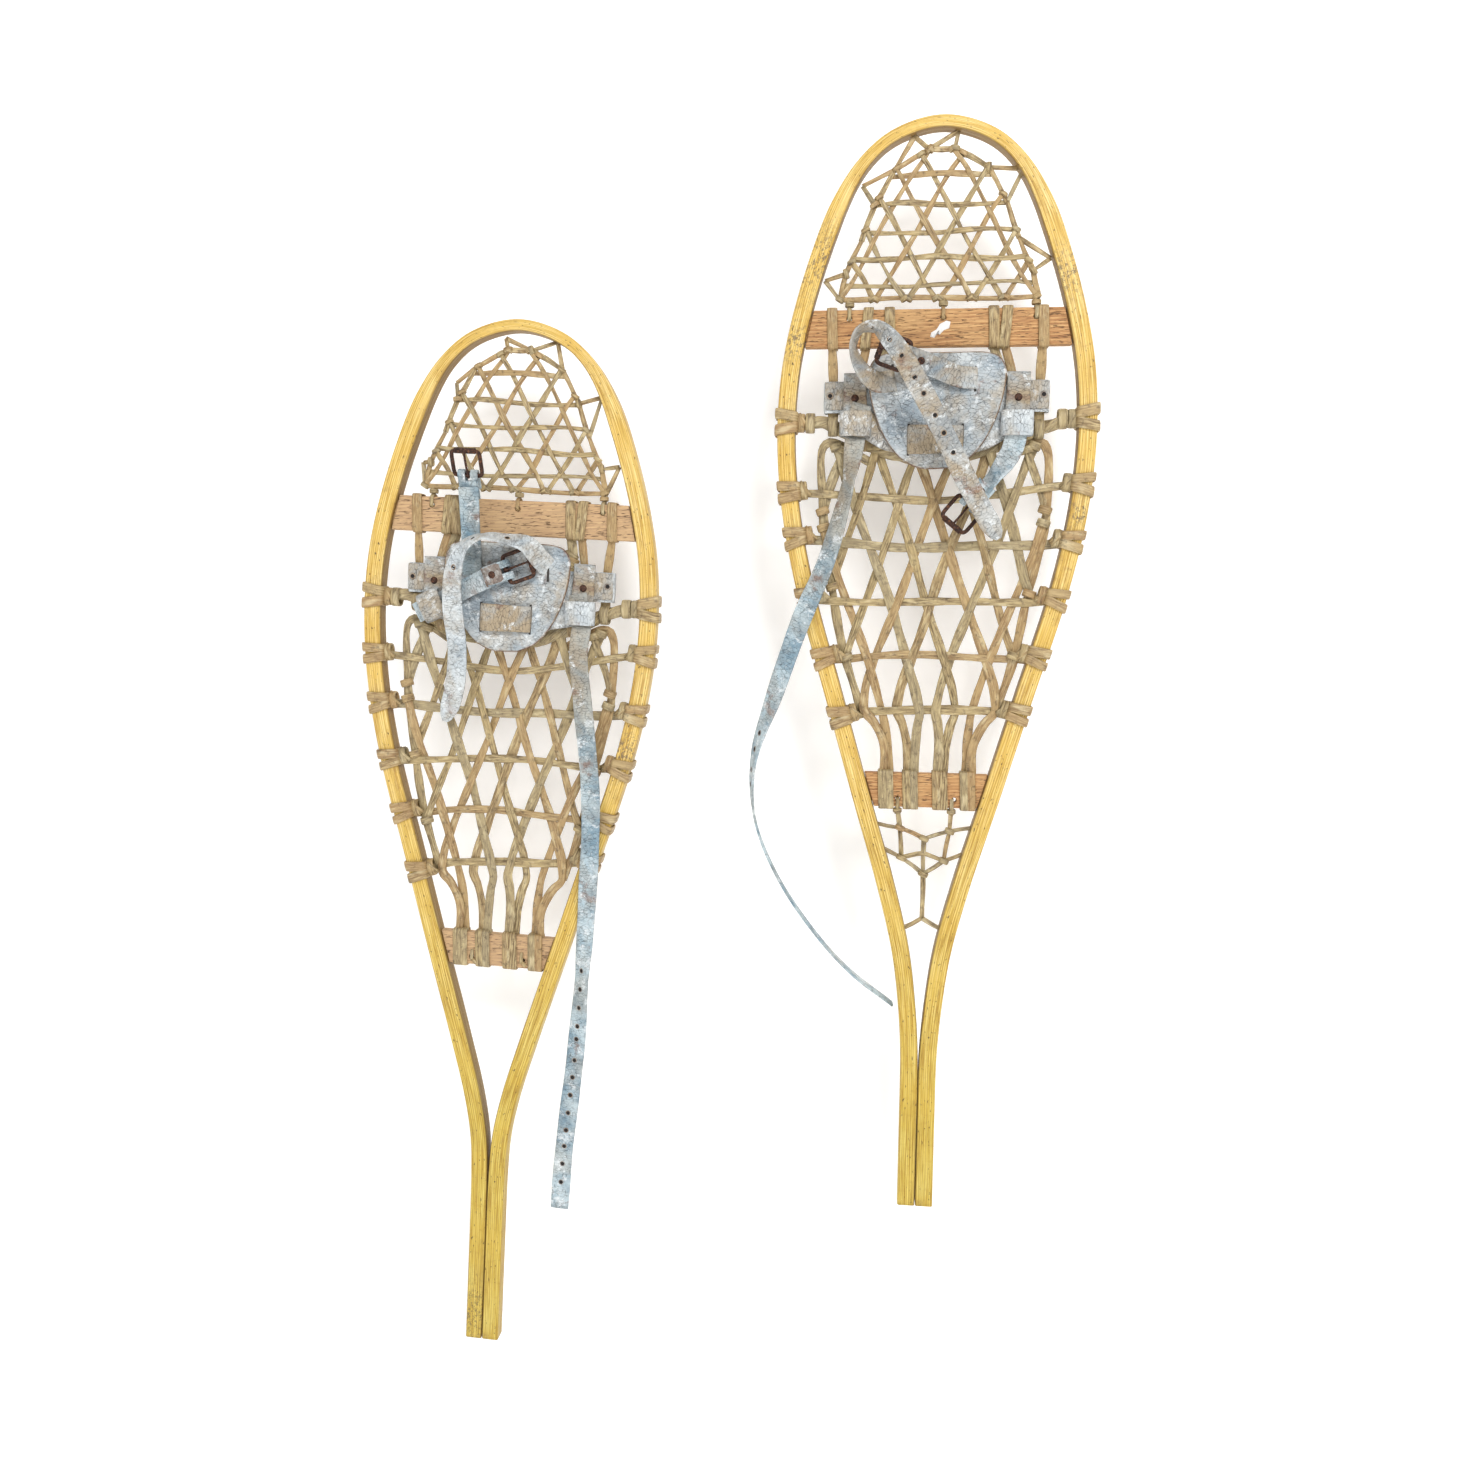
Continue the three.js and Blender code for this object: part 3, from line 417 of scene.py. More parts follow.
    def make(self, name, finish, body, node=None, towards=None, slot=None):
        """Links the mesh in the row frame, in place of a CAD node if one is named.

        It rides on one body unless towards is given; then it is only set in the row frame, unparented, and
        neither body nor towards (another body and the points where a blend would start and end) is used.
        Names are given without the shoe's own.
        """
        shoe = self.shoe
        material, usual_slot = MATERIALS[finish]
        mesh = bpy.data.meshes.new(shoe.named(name))
        points = shoe.place(np.concatenate(self.verts))
        mesh.from_pydata(points.tolist(), [], self.faces)
        mesh.validate()
        mesh.polygons.foreach_set("use_smooth", [len(p.vertices) < 5 for p in mesh.polygons])
        grain = mesh.attributes.new("grain", "FLOAT_VECTOR", "POINT")
        grain.data.foreach_set("vector", np.concatenate(self.grain).ravel())
        tint = mesh.attributes.new("tint", "FLOAT", "POINT")
        tint.data.foreach_set("value", np.concatenate(self.tint))
        mesh.materials.append(material)
        obj = bpy.data.objects.new(shoe.named(name), mesh)
        bpy.context.scene.collection.objects.link(obj)
        if node:
            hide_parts(shoe.named(node))
        if towards:
            other, start, end = towards
            shoe.named(body)
            shoe.named(other)
            shoe.point(start)
            shoe.point(end)
            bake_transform(obj)
        else:
            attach(obj, shoe.named(body))


class Shoe:
    """One shoe's own space, found from the middles of its two crossbars."""

    def __init__(self, data):
        self.__dict__.update(data)
        heel, toe = (self.middle(f"{self.name}_{bar}_crossbar") for bar in ("heel", "toe"))
        self.up = unit(toe - heel)
        self.right = np.cross(DEPTH, self.up)
        self.origin = heel - self.up * HEEL_BAR_W * MM - DEPTH * BAR_Y * MM
        self.outline = self.stave()

    @staticmethod
    def middle(node):
        low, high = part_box(node)
        return np.array((low + high) / 2)

    def place(self, points):
        p = np.array(points, float) * MM
        return self.origin + p[..., :1] * self.right + p[..., 1:2] * DEPTH + p[..., 2:] * self.up

    def point(self, p):
        return tuple(self.place(np.array(p, float)))

    def named(self, name):
        return f"{self.name}_{name}"

    def cord_w(self, u):
        """The toe cord's height at u."""
        return np.interp(u, *np.array(self.cord, float).T)

    def stave(self):
        """The outer edge of the stave, tail end to toe to tail end."""
        side = [(u, 0, w) for w, u in TAIL_STRAIGHT + self.crotch + BODY_OUTLINE]
        other = [(-u, 0, w) for u, _, w in reversed(side)]
        return catmull(side + [(0, 0, TOE_TOP)] + other, 10)

    @staticmethod
    def width(w):
        """The stave's width at a height."""
        t = np.clip((np.asarray(w, float) - TOE_BEND[0]) / (TOE_BEND[1] - TOE_BEND[0]), 0, 1)
        return RAIL_SIZE - (RAIL_SIZE - TOE_BEND_WIDTH) * t * t * (3 - 2 * t)

    def rail(self, w, side):
        """Middle of the rail at a height on one side, its outward normal and its direction."""
        half = self.outline[: len(self.outline) // 2 + 1]
        k = int(np.argmax(half[:, 2] >= w))
        a, b = half[k - 1], half[k]
        edge = a + (b - a) * (w - a[2]) / (b[2] - a[2])
        along = unit(b - a)
        outward = np.array([along[2], 0, -along[0]])
        centre = edge - outward * RAIL_SIZE / 2
        centre[1] = -RAIL_SIZE / 2
        if side < 0:
            centre, outward, along = (v * [-1, 1, 1] for v in (centre, outward, along))
        return centre, outward, along

    def inner(self, w, side):
        """Where the rail's inner face is at a height."""
        centre, outward, _ = self.rail(w, side)
        return centre[0] - side * RAIL_SIZE / 2 / abs(outward[0])


# ---------- materials ----------
class Nodes:
    """A material's node tree with short calls."""

    def __init__(self, name):
        self.material = bpy.data.materials.new(name)
        self.material.use_nodes = True
        self.tree = self.material.node_tree
        self.shader = self.tree.nodes["Principled BSDF"]

    def add(self, kind, values=None, **props):
        node = self.tree.nodes.new(kind)
        for key, value in props.items():
            setattr(node, key, value)
        for key, value in (values or {}).items():
            self.put(node.inputs[key], value)
        return node

    def put(self, socket, value):
        if isinstance(value, bpy.types.NodeSocket):
            self.tree.links.new(value, socket)
        elif isinstance(value, (tuple, list)) and len(value) == 3 and socket.type == "RGBA":
            socket.default_value = (*value, 1)
        else:
            socket.default_value = value

    def grain(self, scale=(1, 1, 1), shift=(0, 0, 0)):
        source = self.add("ShaderNodeAttribute", attribute_name="grain").outputs["Vector"]
        values = {"Vector": source, "Scale": scale, "Location": shift}
        return self.add("ShaderNodeMapping", values).outputs[0]

    def object_space(self, scale=(1, 1, 1), turn=0.0):
        source = self.add("ShaderNodeTexCoord").outputs["Object"]
        values = {"Vector": source, "Scale": scale, "Rotation": (0, turn, 0)}
        return self.add("ShaderNodeMapping", values).outputs[0]

    def tint(self):
        return self.add("ShaderNodeAttribute", attribute_name="tint").outputs["Fac"]

    def noise(self, vector, scale, detail=4.0, rough=0.55, warp=0.0):
        values = {
            "Vector": vector, "Scale": scale, "Detail": detail, "Roughness": rough, "Distortion": warp,
        }
        return self.add("ShaderNodeTexNoise", values).outputs["Fac"]

    def cracks(self, vector, scale, feature="DISTANCE_TO_EDGE"):
        values = {"Vector": vector, "Scale": scale}
        return self.add("ShaderNodeTexVoronoi", values, feature=feature).outputs[0]

    def wave(self, vector, scale, distortion, direction="X"):
        values = {
            "Vector": vector, "Scale": scale, "Distortion": distortion, "Detail": 3.0,
            "Detail Scale": 1.2, "Detail Roughness": 0.6,
        }
        return self.add("ShaderNodeTexWave", values, bands_direction=direction).outputs["Fac"]

    def ramp(self, factor, *stops):
        node = self.add("ShaderNodeValToRGB", {"Fac": factor})
        ramp = node.color_ramp
        while len(ramp.elements) < len(stops):
            ramp.elements.new(0.5)
        for element, (position, colour) in zip(ramp.elements, stops):
            element.position = position
            element.color = (*colour, 1) if isinstance(colour, tuple) else (colour, colour, colour, 1)
        return node.outputs["Color"]

    def band(self, factor, low, high):
        """0 below low, 1 above high."""
        values = {"Value": factor, "From Min": low, "From Max": high}
        return self.add("ShaderNodeMapRange", values).outputs[0]

    def mix(self, factor, a, b, blend="MIX"):
        node = self.add("ShaderNodeMix", data_type="RGBA", blend_type=blend)
        self.put(node.inputs[0], factor)
        self.put(node.inputs[6], a)
        self.put(node.inputs[7], b)
        return node.outputs[2]

    def math(self, operation, a, b=0.0):
        node = self.add("ShaderNodeMath", operation=operation)
        self.put(node.inputs[0], a)
        self.put(node.inputs[1], b)
        return node.outputs[0]

    def times(self, a, b):
        return self.math("MULTIPLY", a, b)

    def tone(self, colour, pattern, low, high, share, shade):
        """Lays shade over colour as pattern goes from low to high, by share at most."""
        return self.mix(self.times(self.band(pattern, low, high), share), colour, shade)

    def bump(self, height, distance, strength=1.0):
        values = {"Height": height, "Distance": distance, "Strength": strength}
        return self.add("ShaderNodeBump", values).outputs[0]

    def finish(self, **inputs):
        for key, value in inputs.items():
            self.put(self.shader.inputs[key.replace("_", " ")], value)
        return self.material


def rail_wood():
    """Golden ash: fibre lines, rings and grime, dark pits where scraped, and a deeper yellow lower down."""
    m = Nodes("rail_wood")
    fibre = m.grain((1, 0.03, 1))
    lines = m.noise(fibre, 760, 5, 0.62)
    rings = m.wave(m.grain((1, 0.012, 0.3)), 150, 7.0)
    flame = m.noise(m.grain((1, 0.12, 1)), 120, 4, 0.6)
    patches = m.noise(m.grain(), 16, 4, 0.6)
    ripple = m.noise(m.grain((0.4, 1, 0.4)), 210, 3, 0.6)
    specks = m.noise(m.grain((1, 0.4, 1)), 460, 2, 0.5)
    grime = m.noise(m.grain((1, 0.6, 1)), 55, 6, 0.72)
    across = m.add("ShaderNodeSeparateXYZ", {"Vector": m.grain()}).outputs[0]
    colour = m.ramp(
        lines, (0.34, (0.34, 0.18, 0.03)), (0.46, (0.62, 0.42, 0.095)), (0.62, (0.82, 0.63, 0.25))
    )
    colour = m.tone(colour, rings, 0.55, 0.9, 0.7, (0.38, 0.2, 0.04))
    colour = m.tone(colour, flame, 0.52, 0.72, 0.4, (0.84, 0.67, 0.3))
    colour = m.tone(colour, patches, 0.4, 0.62, 0.35, (0.7, 0.44, 0.07))
    colour = m.tone(colour, ripple, 0.56, 0.7, 0.25, (0.45, 0.25, 0.05))
    colour = m.tone(colour, grime, 0.57, 0.74, 0.6, (0.26, 0.14, 0.045))
    colour = m.tone(colour, specks, 0.66, 0.72, 0.85, (0.07, 0.04, 0.02))
    pits = m.noise(m.grain((1, 0.7, 1)), 380, 5, 0.75)
    pits = m.times(m.band(pits, 0.5, 0.58), m.tint())
    colour = m.mix(m.times(pits, 0.8), colour, (0.1, 0.075, 0.06))
    level = m.add("ShaderNodeSeparateXYZ", {"Vector": m.object_space()}).outputs[2]
    colour = m.mix(m.band(level, 0.62, 0.25), colour, (0.85, 0.88, 0.52), "MULTIPLY")
    # darker inner side face: partly aged, unvarnished wood and partly painted shade
    colour = m.tone(colour, across, -0.0076, -0.0087, 0.78, (0.13, 0.06, 0.02))
    # lighter darkening of the outer side face: painted shade
    colour = m.tone(colour, across, 0.008, 0.0088, 0.35, (0.22, 0.11, 0.03))
    height = m.math("ADD", m.times(lines, 0.7), m.times(rings, 0.25))
    rough = m.band(lines, 1.25, -0.3)
    return m.finish(Base_Color=colour, Roughness=rough, Normal=m.bump(height, 0.0005, 0.9), IOR=1.45)


def bar_wood(turn, faded):
    """Redder crossbar wood, its grain turned with the shoe; faded is its share of a pale brown."""
    m = Nodes("crossbar_wood")
    fibre = m.object_space((0.05, 1, 1), turn)
    lines = m.noise(fibre, 900, 5, 0.65)
    pores = m.noise(m.object_space((0.1, 1, 1), turn), 1300, 2, 0.5)
    rings = m.wave(m.object_space((0.04, 1, 1), turn), 90, 5.0, "Z")
    patches = m.noise(m.object_space(), 24, 4)
    colour = m.ramp(
        lines, (0.3, (0.2, 0.075, 0.022)), (0.5, (0.47, 0.235, 0.08)), (0.72, (0.68, 0.42, 0.18))
    )
    colour = m.tone(colour, rings, 0.4, 0.9, 0.55, (0.3, 0.12, 0.035))
    colour = m.tone(colour, patches, 0.45, 0.7, 0.4, (0.66, 0.42, 0.18))
    colour = m.mix(faded, colour, (0.55, 0.42, 0.26))
    colour = m.tone(colour, pores, 0.6, 0.67, 0.85, (0.06, 0.028, 0.014))
    height = m.math("SUBTRACT", lines, m.times(m.band(pores, 0.6, 0.7), 0.8))
    return m.finish(Base_Color=colour, Roughness=0.66, Normal=m.bump(height, 0.0005, 0.9))


def rawhide():
    """Dry rawhide: fibres, browner or greyer lengths by tint, scattered pale spots of painted sheen, and
    dirt.
    """
    m = Nodes("rawhide")
    fibre = m.noise(m.grain((1, 0.1, 1)), 760, 5, 0.62)
    blotch = m.noise(m.grain((1, 0.35, 1)), 75, 4, 0.6)
    dirt = m.noise(m.grain(), 150, 5, 0.7)
    shine = m.noise(m.grain((1, 0.25, 1)), 190, 3)
    colour = m.ramp(
        fibre, (0.32, (0.08, 0.05, 0.02)), (0.48, (0.26, 0.185, 0.085)), (0.66, (0.55, 0.43, 0.22))
    )
    colour = m.tone(colour, blotch, 0.46, 0.64, 0.6, (0.5, 0.375, 0.175))
    colour = m.tone(colour, m.tint(), 0.5, 1.0, 0.45, (0.4, 0.22, 0.085))
    colour = m.tone(colour, m.tint(), 0.4, 0.0, 0.4, (0.31, 0.265, 0.17))
    # pale patches of painted sheen on the strands
    colour = m.tone(colour, shine, 0.56, 0.68, 0.5, (0.68, 0.57, 0.34))
    colour = m.tone(colour, dirt, 0.54, 0.68, 0.65, (0.06, 0.037, 0.018))
    height = m.math("ADD", fibre, m.times(blotch, 0.9))
    return m.finish(
        Base_Color=colour, Roughness=m.band(fibre, 1.2, -0.2), Normal=m.bump(height, 0.0009, 1.0), IOR=1.5,
    )


def leather(name, light, shade, tan_share):
    """Weathered leather; tint runs from bleached (0) by tanned (1) and rusty (1.2) to the painted shade
    inside a hole (2).
    """
    m = Nodes(name)
    large = m.noise(m.grain(), 30, 5, 0.65)
    fine = m.noise(m.grain(), 360, 4, 0.7)
    tan = m.noise(m.grain(shift=(3, 1, 2)), 26, 5, 0.65, 0.5)
    rust = m.noise(m.grain(shift=(7, 4, 1)), 42, 4, 0.65)
    pebble = m.cracks(m.grain(), 900, "F1")
    crack = m.cracks(m.grain((0.55, 1, 1)), 330)
    worn = m.noise(m.grain(), 130, 6, 0.78)
    chalk = m.noise(m.grain(shift=(1, 5, 9)), 75, 6, 0.75)
    colour = m.mix(m.band(large, 0.4, 0.6), shade, light)
    tanned = m.times(m.band(tan, 0.44, 0.6), tan_share)
    tanned = m.math("ADD", tanned, m.times(m.band(m.tint(), 0.5, 1.0), 0.5))
    colour = m.mix(tanned, colour, (0.38, 0.3, 0.2))
    colour = m.tone(colour, rust, 0.6, 0.68, 0.65, (0.2, 0.09, 0.045))
    colour = m.tone(colour, chalk, 0.54, 0.62, 0.75, (0.76, 0.79, 0.8))
    bleached = m.times(m.band(m.tint(), 0.35, 0.0), m.band(chalk, 0.38, 0.5))
    colour = m.mix(m.times(bleached, 0.7), colour, (0.7, 0.745, 0.76))
    colour = m.tone(colour, worn, 0.56, 0.68, 0.4, (0.13, 0.13, 0.125))
    gaps = m.times(m.band(crack, 0.05, 0.0), m.band(worn, 0.4, 0.55))
    colour = m.mix(m.times(gaps, 0.55), colour, (0.07, 0.07, 0.065))
    colour = m.tone(colour, fine, 0.56, 0.72, 0.25, (0.12, 0.12, 0.11))
    stain = m.times(m.band(m.tint(), 1.0, 1.25), m.band(chalk, 0.68, 0.46))
    colour = m.mix(m.times(stain, 0.8), colour, (0.16, 0.075, 0.045))
    # near black where tint passes 1.4: painted shade inside punched holes
    colour = m.mix(m.band(m.tint(), 1.4, 1.7), colour, (0.012, 0.01, 0.009))
    height = m.math("ADD", m.times(pebble, 0.3), fine)
    height = m.math("SUBTRACT", height, m.times(gaps, 0.9))
    return m.finish(Base_Color=colour, Roughness=0.84, Normal=m.bump(height, 0.0008, 1.0))


def rusty_iron():
    """Dark flaking iron."""
    m = Nodes("rusty_iron")
    flake = m.noise(m.grain(), 420, 6, 0.7)
    patch = m.noise(m.grain(), 110, 3)
    colour = m.ramp(
        flake, (0.3, (0.012, 0.008, 0.007)), (0.5, (0.06, 0.026, 0.016)), (0.7, (0.2, 0.075, 0.03))
    )
    colour = m.tone(colour, patch, 0.5, 0.7, 0.5, (0.035, 0.027, 0.025))
    rough = m.band(flake, 1.4, 0.1)
    return m.finish(Base_Color=colour, Roughness=rough, Metallic=0.4, Normal=m.bump(flake, 0.0006, 1.0))


def plain(name, colour, roughness):
    m = Nodes(name)
    fleck = m.noise(m.grain(), 500, 3)
    return m.finish(Base_Color=m.mix(m.times(fleck, 0.4), colour, (0, 0, 0)), Roughness=roughness)


# ---------- the wooden frame ----------
def rail_section():
    """The stave's section with rounded corners, and points that hold its faces flat."""
    half = RAIL_SIZE / 2
    reach = half - RAIL_CORNER
    points = []
    for quarter in range(4):
        a0 = quarter * math.pi / 2
        sx = 1 if quarter in (0, 3) else -1
        sy = 1 if quarter in (0, 1) else -1
        for k in range(5):
            a = a0 + k * math.pi / 8
            points.append((sx * reach + RAIL_CORNER * math.cos(a), sy * reach + RAIL_CORNER * math.sin(a)))
    return np.array(points)


def build_rail(shoe):
    """The bent stave, thinner at the toe, with a hairline seam where its ends meet."""
    part = Part(shoe)
    edge = evenly(shoe.outline, 6.0)
    along = unit(np.gradient(edge, axis=0))
    outward = np.column_stack([along[:, 2], np.zeros(len(edge)), -along[:, 0]])
    half = RAIL_SIZE / 2
    share = (shoe.width(edge[:, 2]) / RAIL_SIZE)[:, None]
    path = edge - outward * half * share - DEPTH * half
    section = rail_section()
    a = section[:, 0] * (half - SEAM) / half
    across = a[None, :] * share
    rings = path[:, None] + outward[:, None] * across[..., None] + DEPTH * section[:, 1][None, :, None]
    s = np.broadcast_to(lengths(path)[:, None], rings.shape[:2])
    shape = rings.shape[:2]
    grain = np.stack([np.broadcast_to(a, shape), s, np.broadcast_to(section[:, 1], shape)], axis=-1) * MM
    scraped = np.zeros(len(edge))
    for u_side, w, reach in shoe.scrapes:
        scraped += np.exp(-(((edge[:, 2] - w) / reach) ** 2)) * (edge[:, 0] * u_side > 0)
    part.skin(rings, grain, tint=np.clip(scraped, 0, 1)[:, None])
    part.make("rail", "rail", "shoe", "frame_rail")


def dress_bars(shoe):
    """Gives the CAD crossbars their wood and softened edges."""
    turn = math.atan2(shoe.up[0], shoe.up[2])
    material = bar_wood(-turn, shoe.bar_fade)
    for bar in ("toe", "heel"):
        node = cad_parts[f"{shoe.name}_{bar}_crossbar"]
        node.data.materials.clear()
        node.data.materials.append(material)
        weld = node.modifiers.new("weld", "WELD")
        weld.merge_threshold = 0.00005
        bevel = node.modifiers.new("bevel", "BEVEL")
        bevel.width, bevel.segments, bevel.limit_method = 0.0012, 3, "ANGLE"


def build_chip(shoe):
    """A pale chip, slightly raised, beside the middle hole of one toe crossbar."""
    part = Part(shoe)
    outline = [(-7, 864), (-6, 868), (-1, 871), (2, 876), (8, 879), (12, 878), (11, 872), (6, 870),
               (2, 866), (-2, 867), (-3, 863)]
    middle = np.mean(outline, axis=0)
    rings = []
    for share, y in ((1.0, -13.95), (0.97, -14.2), (0.5, -14.3), (0.04, -14.3)):
        rings.append([(u, y, w) for u, w in middle + (np.array(outline) - middle) * share])
    rings = np.array(rings)
    part.skin(rings, rings[..., [0, 2, 1]] * MM)
    part.make("chip", "chip", "shoe")


# ---------- woven rawhide ----------
def cross_2d(p, q, a, b):
    """Where segment p-q meets segment a-b, as shares of each, or None."""
    r, s = q - p, b - a
    d = r[0] * s[1] - r[1] * s[0]
    if abs(d) < 1e-9:
        return None
    t = ((a[0] - p[0]) * s[1] - (a[1] - p[1]) * s[0]) / d
    v = ((a[0] - p[0]) * r[1] - (a[1] - p[1]) * r[0]) / d
    return (t, v) if 0 <= t <= 1 and 0 <= v <= 1 else None


def weave(strands, lift, y=NET_Y):
    """Strands {points, family, index} in (u, w) become paths that pass over and under each other."""
    lines = [np.array(s["points"], float) for s in strands]
    marks = [lengths(line) for line in lines]
    knots = [[] for _ in strands]
    for i, a in enumerate(strands):
        for j in range(i + 1, len(strands)):
            b = strands[j]
            if a["family"] == b["family"]:
                continue
            for m in range(len(lines[i]) - 1):
                for n in range(len(lines[j]) - 1):
                    hit = cross_2d(lines[i][m], lines[i][m + 1], lines[j][n], lines[j][n + 1])
                    if hit is None:
                        continue
                    over = 1 if (a["index"] + b["index"] + a["family"]) % 2 else -1
                    knots[i].append((np.interp(hit[0], (0, 1), marks[i][m : m + 2]), over))
                    knots[j].append((np.interp(hit[1], (0, 1), marks[j][n : n + 2]), -over))
    paths = []
    for line, mark, ks in zip(lines, marks, knots):
        at = np.linspace(0, mark[-1], max(int(mark[-1] / 3), 3))
        u, w = (np.interp(at, mark, line[:, k]) for k in (0, 1))
        if ks:
            ks = sorted(ks)
            s, level = np.array([k[0] for k in ks]), np.array([k[1] for k in ks], float)
            depth = y - lift * np.interp(at, s, level)
            kernel = np.ones(5) / 5
            depth = np.convolve(np.pad(depth, 2, mode="edge"), kernel, mode="valid")
        else:
            depth = np.full(len(at), float(y))
        paths.append(np.column_stack([u, depth, w]))
    return paths


def clip(u0, w0, slope, polygon):
    """Where the line through (u0, w0) with slope du/dw crosses a polygon, lowest first."""
    hits = []
    for (ua, wa), (ub, wb) in zip(polygon, polygon[1:] + polygon[:1]):
        fa, fb = ua - u0 - slope * (wa - w0), ub - u0 - slope * (wb - w0)
        if (fa > 0) != (fb > 0):
            t = fa / (fa - fb)
            hits.append((ua + t * (ub - ua), wa + t * (wb - wa)))
    return sorted(hits, key=lambda h: h[1])


def both_sides(points):
    """An outline closed by its own mirror image."""
    return list(points) + [(-u, w) for u, w in reversed(points)]


def at_depth(points, y=NET_Y):
    return [(u, y, w) for u, w in points]


def wander(points, rng, amount):
    """A line through points with a little slack, as hand-laced thong has."""
    line = evenly(np.array(points, float), 6.0)
    s = lengths(line)
    free = np.clip(np.minimum(s, s[-1] - s) / 20, 0, 1)
    for k in (0, 1):
        line[:, k] += amount * free * np.sin(s / (22 + 16 * rng.random()) + 6 * rng.random())
    return line


def span(w, polygon):
    """Left and right end of a level line inside a polygon."""
    hits = []
    for (ua, wa), (ub, wb) in zip(polygon, polygon[1:] + polygon[:1]):
        if (wa > w) != (wb > w):
            hits.append(ua + (w - wa) / (wb - wa) * (ub - ua))
    return min(hits), max(hits)


def hitch(part, at, direction, width, thick, half_a, half_b):
    """A turn of thong round a strand at a point, its axis along direction."""
    direction = unit(np.array(direction, float))
    axis_a = unit(np.cross(direction, DEPTH))
    part.ring(at, axis_a, DEPTH, half_a, half_b, width, thick, power=2.6, steps=18)


def build_toe_net(shoe):
    """Level rows and two slanting families inside a plain edge thong, tied to stave and bar."""
    part = Part(shoe)
    rng = part.rng
    edge = both_sides(TOE_NET_EDGE)
    strands = []
    for k, w in enumerate(shoe.toe_rows):
        a, b = span(w, edge)
        points = wander([(a, w), (b, w)], rng, 1.6)
        strands.append({"points": points, "family": 0, "index": k})
    for sign, family in ((1, 1), (-1, 2)):
        for k in range(-6, 7):
            hits = clip(k * TOE_PITCH + rng.normal(0, 1.0), TOE_LEVEL, sign * TOE_SLOPE, edge)
            if len(hits) >= 2 and hits[-1][1] - hits[0][1] > 24:
                points = wander([hits[0], hits[-1]], rng, 1.8)
                strands.append({"points": points, "family": family, "index": k})
                for u, w in (hits[0], hits[-1]):
                    hitch(part, (u, NET_Y, w), (sign * TOE_SLOPE, 0, 1), *TOE_HITCH)
    for path in weave(strands, 1.3):
        twist = ((0, 0.5, 1), rng.normal(0, 0.35, 3))
        part.strand(path, FINE * (0.9 + 0.25 * rng.random()), 2.3, twist, wobble=0.1)
    for a, b in zip(edge, edge[1:] + edge[:1]):
        path = at_depth(wander([a, b], rng, 1.0))
        part.strand(path, FINE, 2.6, ((0, 1), rng.normal(0, 0.4, 2)))
    toe_ties(part, shoe, rng)
    for u, w in TOE_HOLES:
        bar_tie(part, u, w, TOE_BAR_W, 1, TOE_NET_EDGE[-1][1])
    part.make("toe_net", "rawhide", "shoe", "toe_lacing")


def toe_ties(part, shoe, rng):
    """Thongs from the toe net's edge to the stave, two to each anchor."""
    corners = both_sides(TOE_NET_EDGE)
    for u, w in shoe.toe_anchors:
        near = sorted(corners, key=lambda c: math.hypot(c[0] - u, c[1] - w))[:2]
        for c in near:
            path = evenly(np.array([(c[0], NET_Y, c[1]), (u, NET_Y + 0.5, w)], float), 5)
            part.strand(path, 4.4, 2.2, ((0, 1), rng.normal(0, 0.5, 2)))
        knot_u, knot_w = near[0]
        hitch(part, (knot_u, NET_Y, knot_w), (u - knot_u, 0, w - knot_w), 4.5, 1.8, 4, 3.6)


def bar_wrap(part, u, w, clear, width, thick, slant):
    """A turn of rawhide round a whole crossbar; clear is its room in height and in depth."""
    half_a, half_b = BAR_HEIGHT / 2 + clear[0], BAR_DEPTH / 2 + clear[1]
    part.ring(
        (u, BAR_Y, w), (0, 0, 1), DEPTH, half_a, half_b, width, thick, shift=(0, slant), power=9, steps=40,
    )


def hole_turn(part, u, w, half):
    """A thin thong through a crossbar's hole and round its edge."""
    part.ring((u, BAR_Y, w), (0, 0, 1), DEPTH, half, BAR_DEPTH / 2 + 1.4, 3.6, 2.0, power=3.5, steps=24)


def bar_tie(part, u, w, bar_w, away, net_w):
    """A thong through a hole in a crossbar, round the bar's edge and knotted to the net."""
    edge = bar_w + away * BAR_HEIGHT / 2
    hole_turn(part, u, (w + edge) / 2, abs(edge - w) / 2 + 1.6)
    path = [(u, BAR_Y, edge), (u * 1.01, NET_Y, (edge + net_w) / 2), (u * 1.02, NET_Y, net_w)]
    part.strand(path, 4.6, 3.0, ((0, 1), (0.3, -0.4)))
    hitch(part, (u, NET_Y, (edge + net_w) / 2), (0, 0, 1), 4.5, 1.8, 3.6, 3.2)


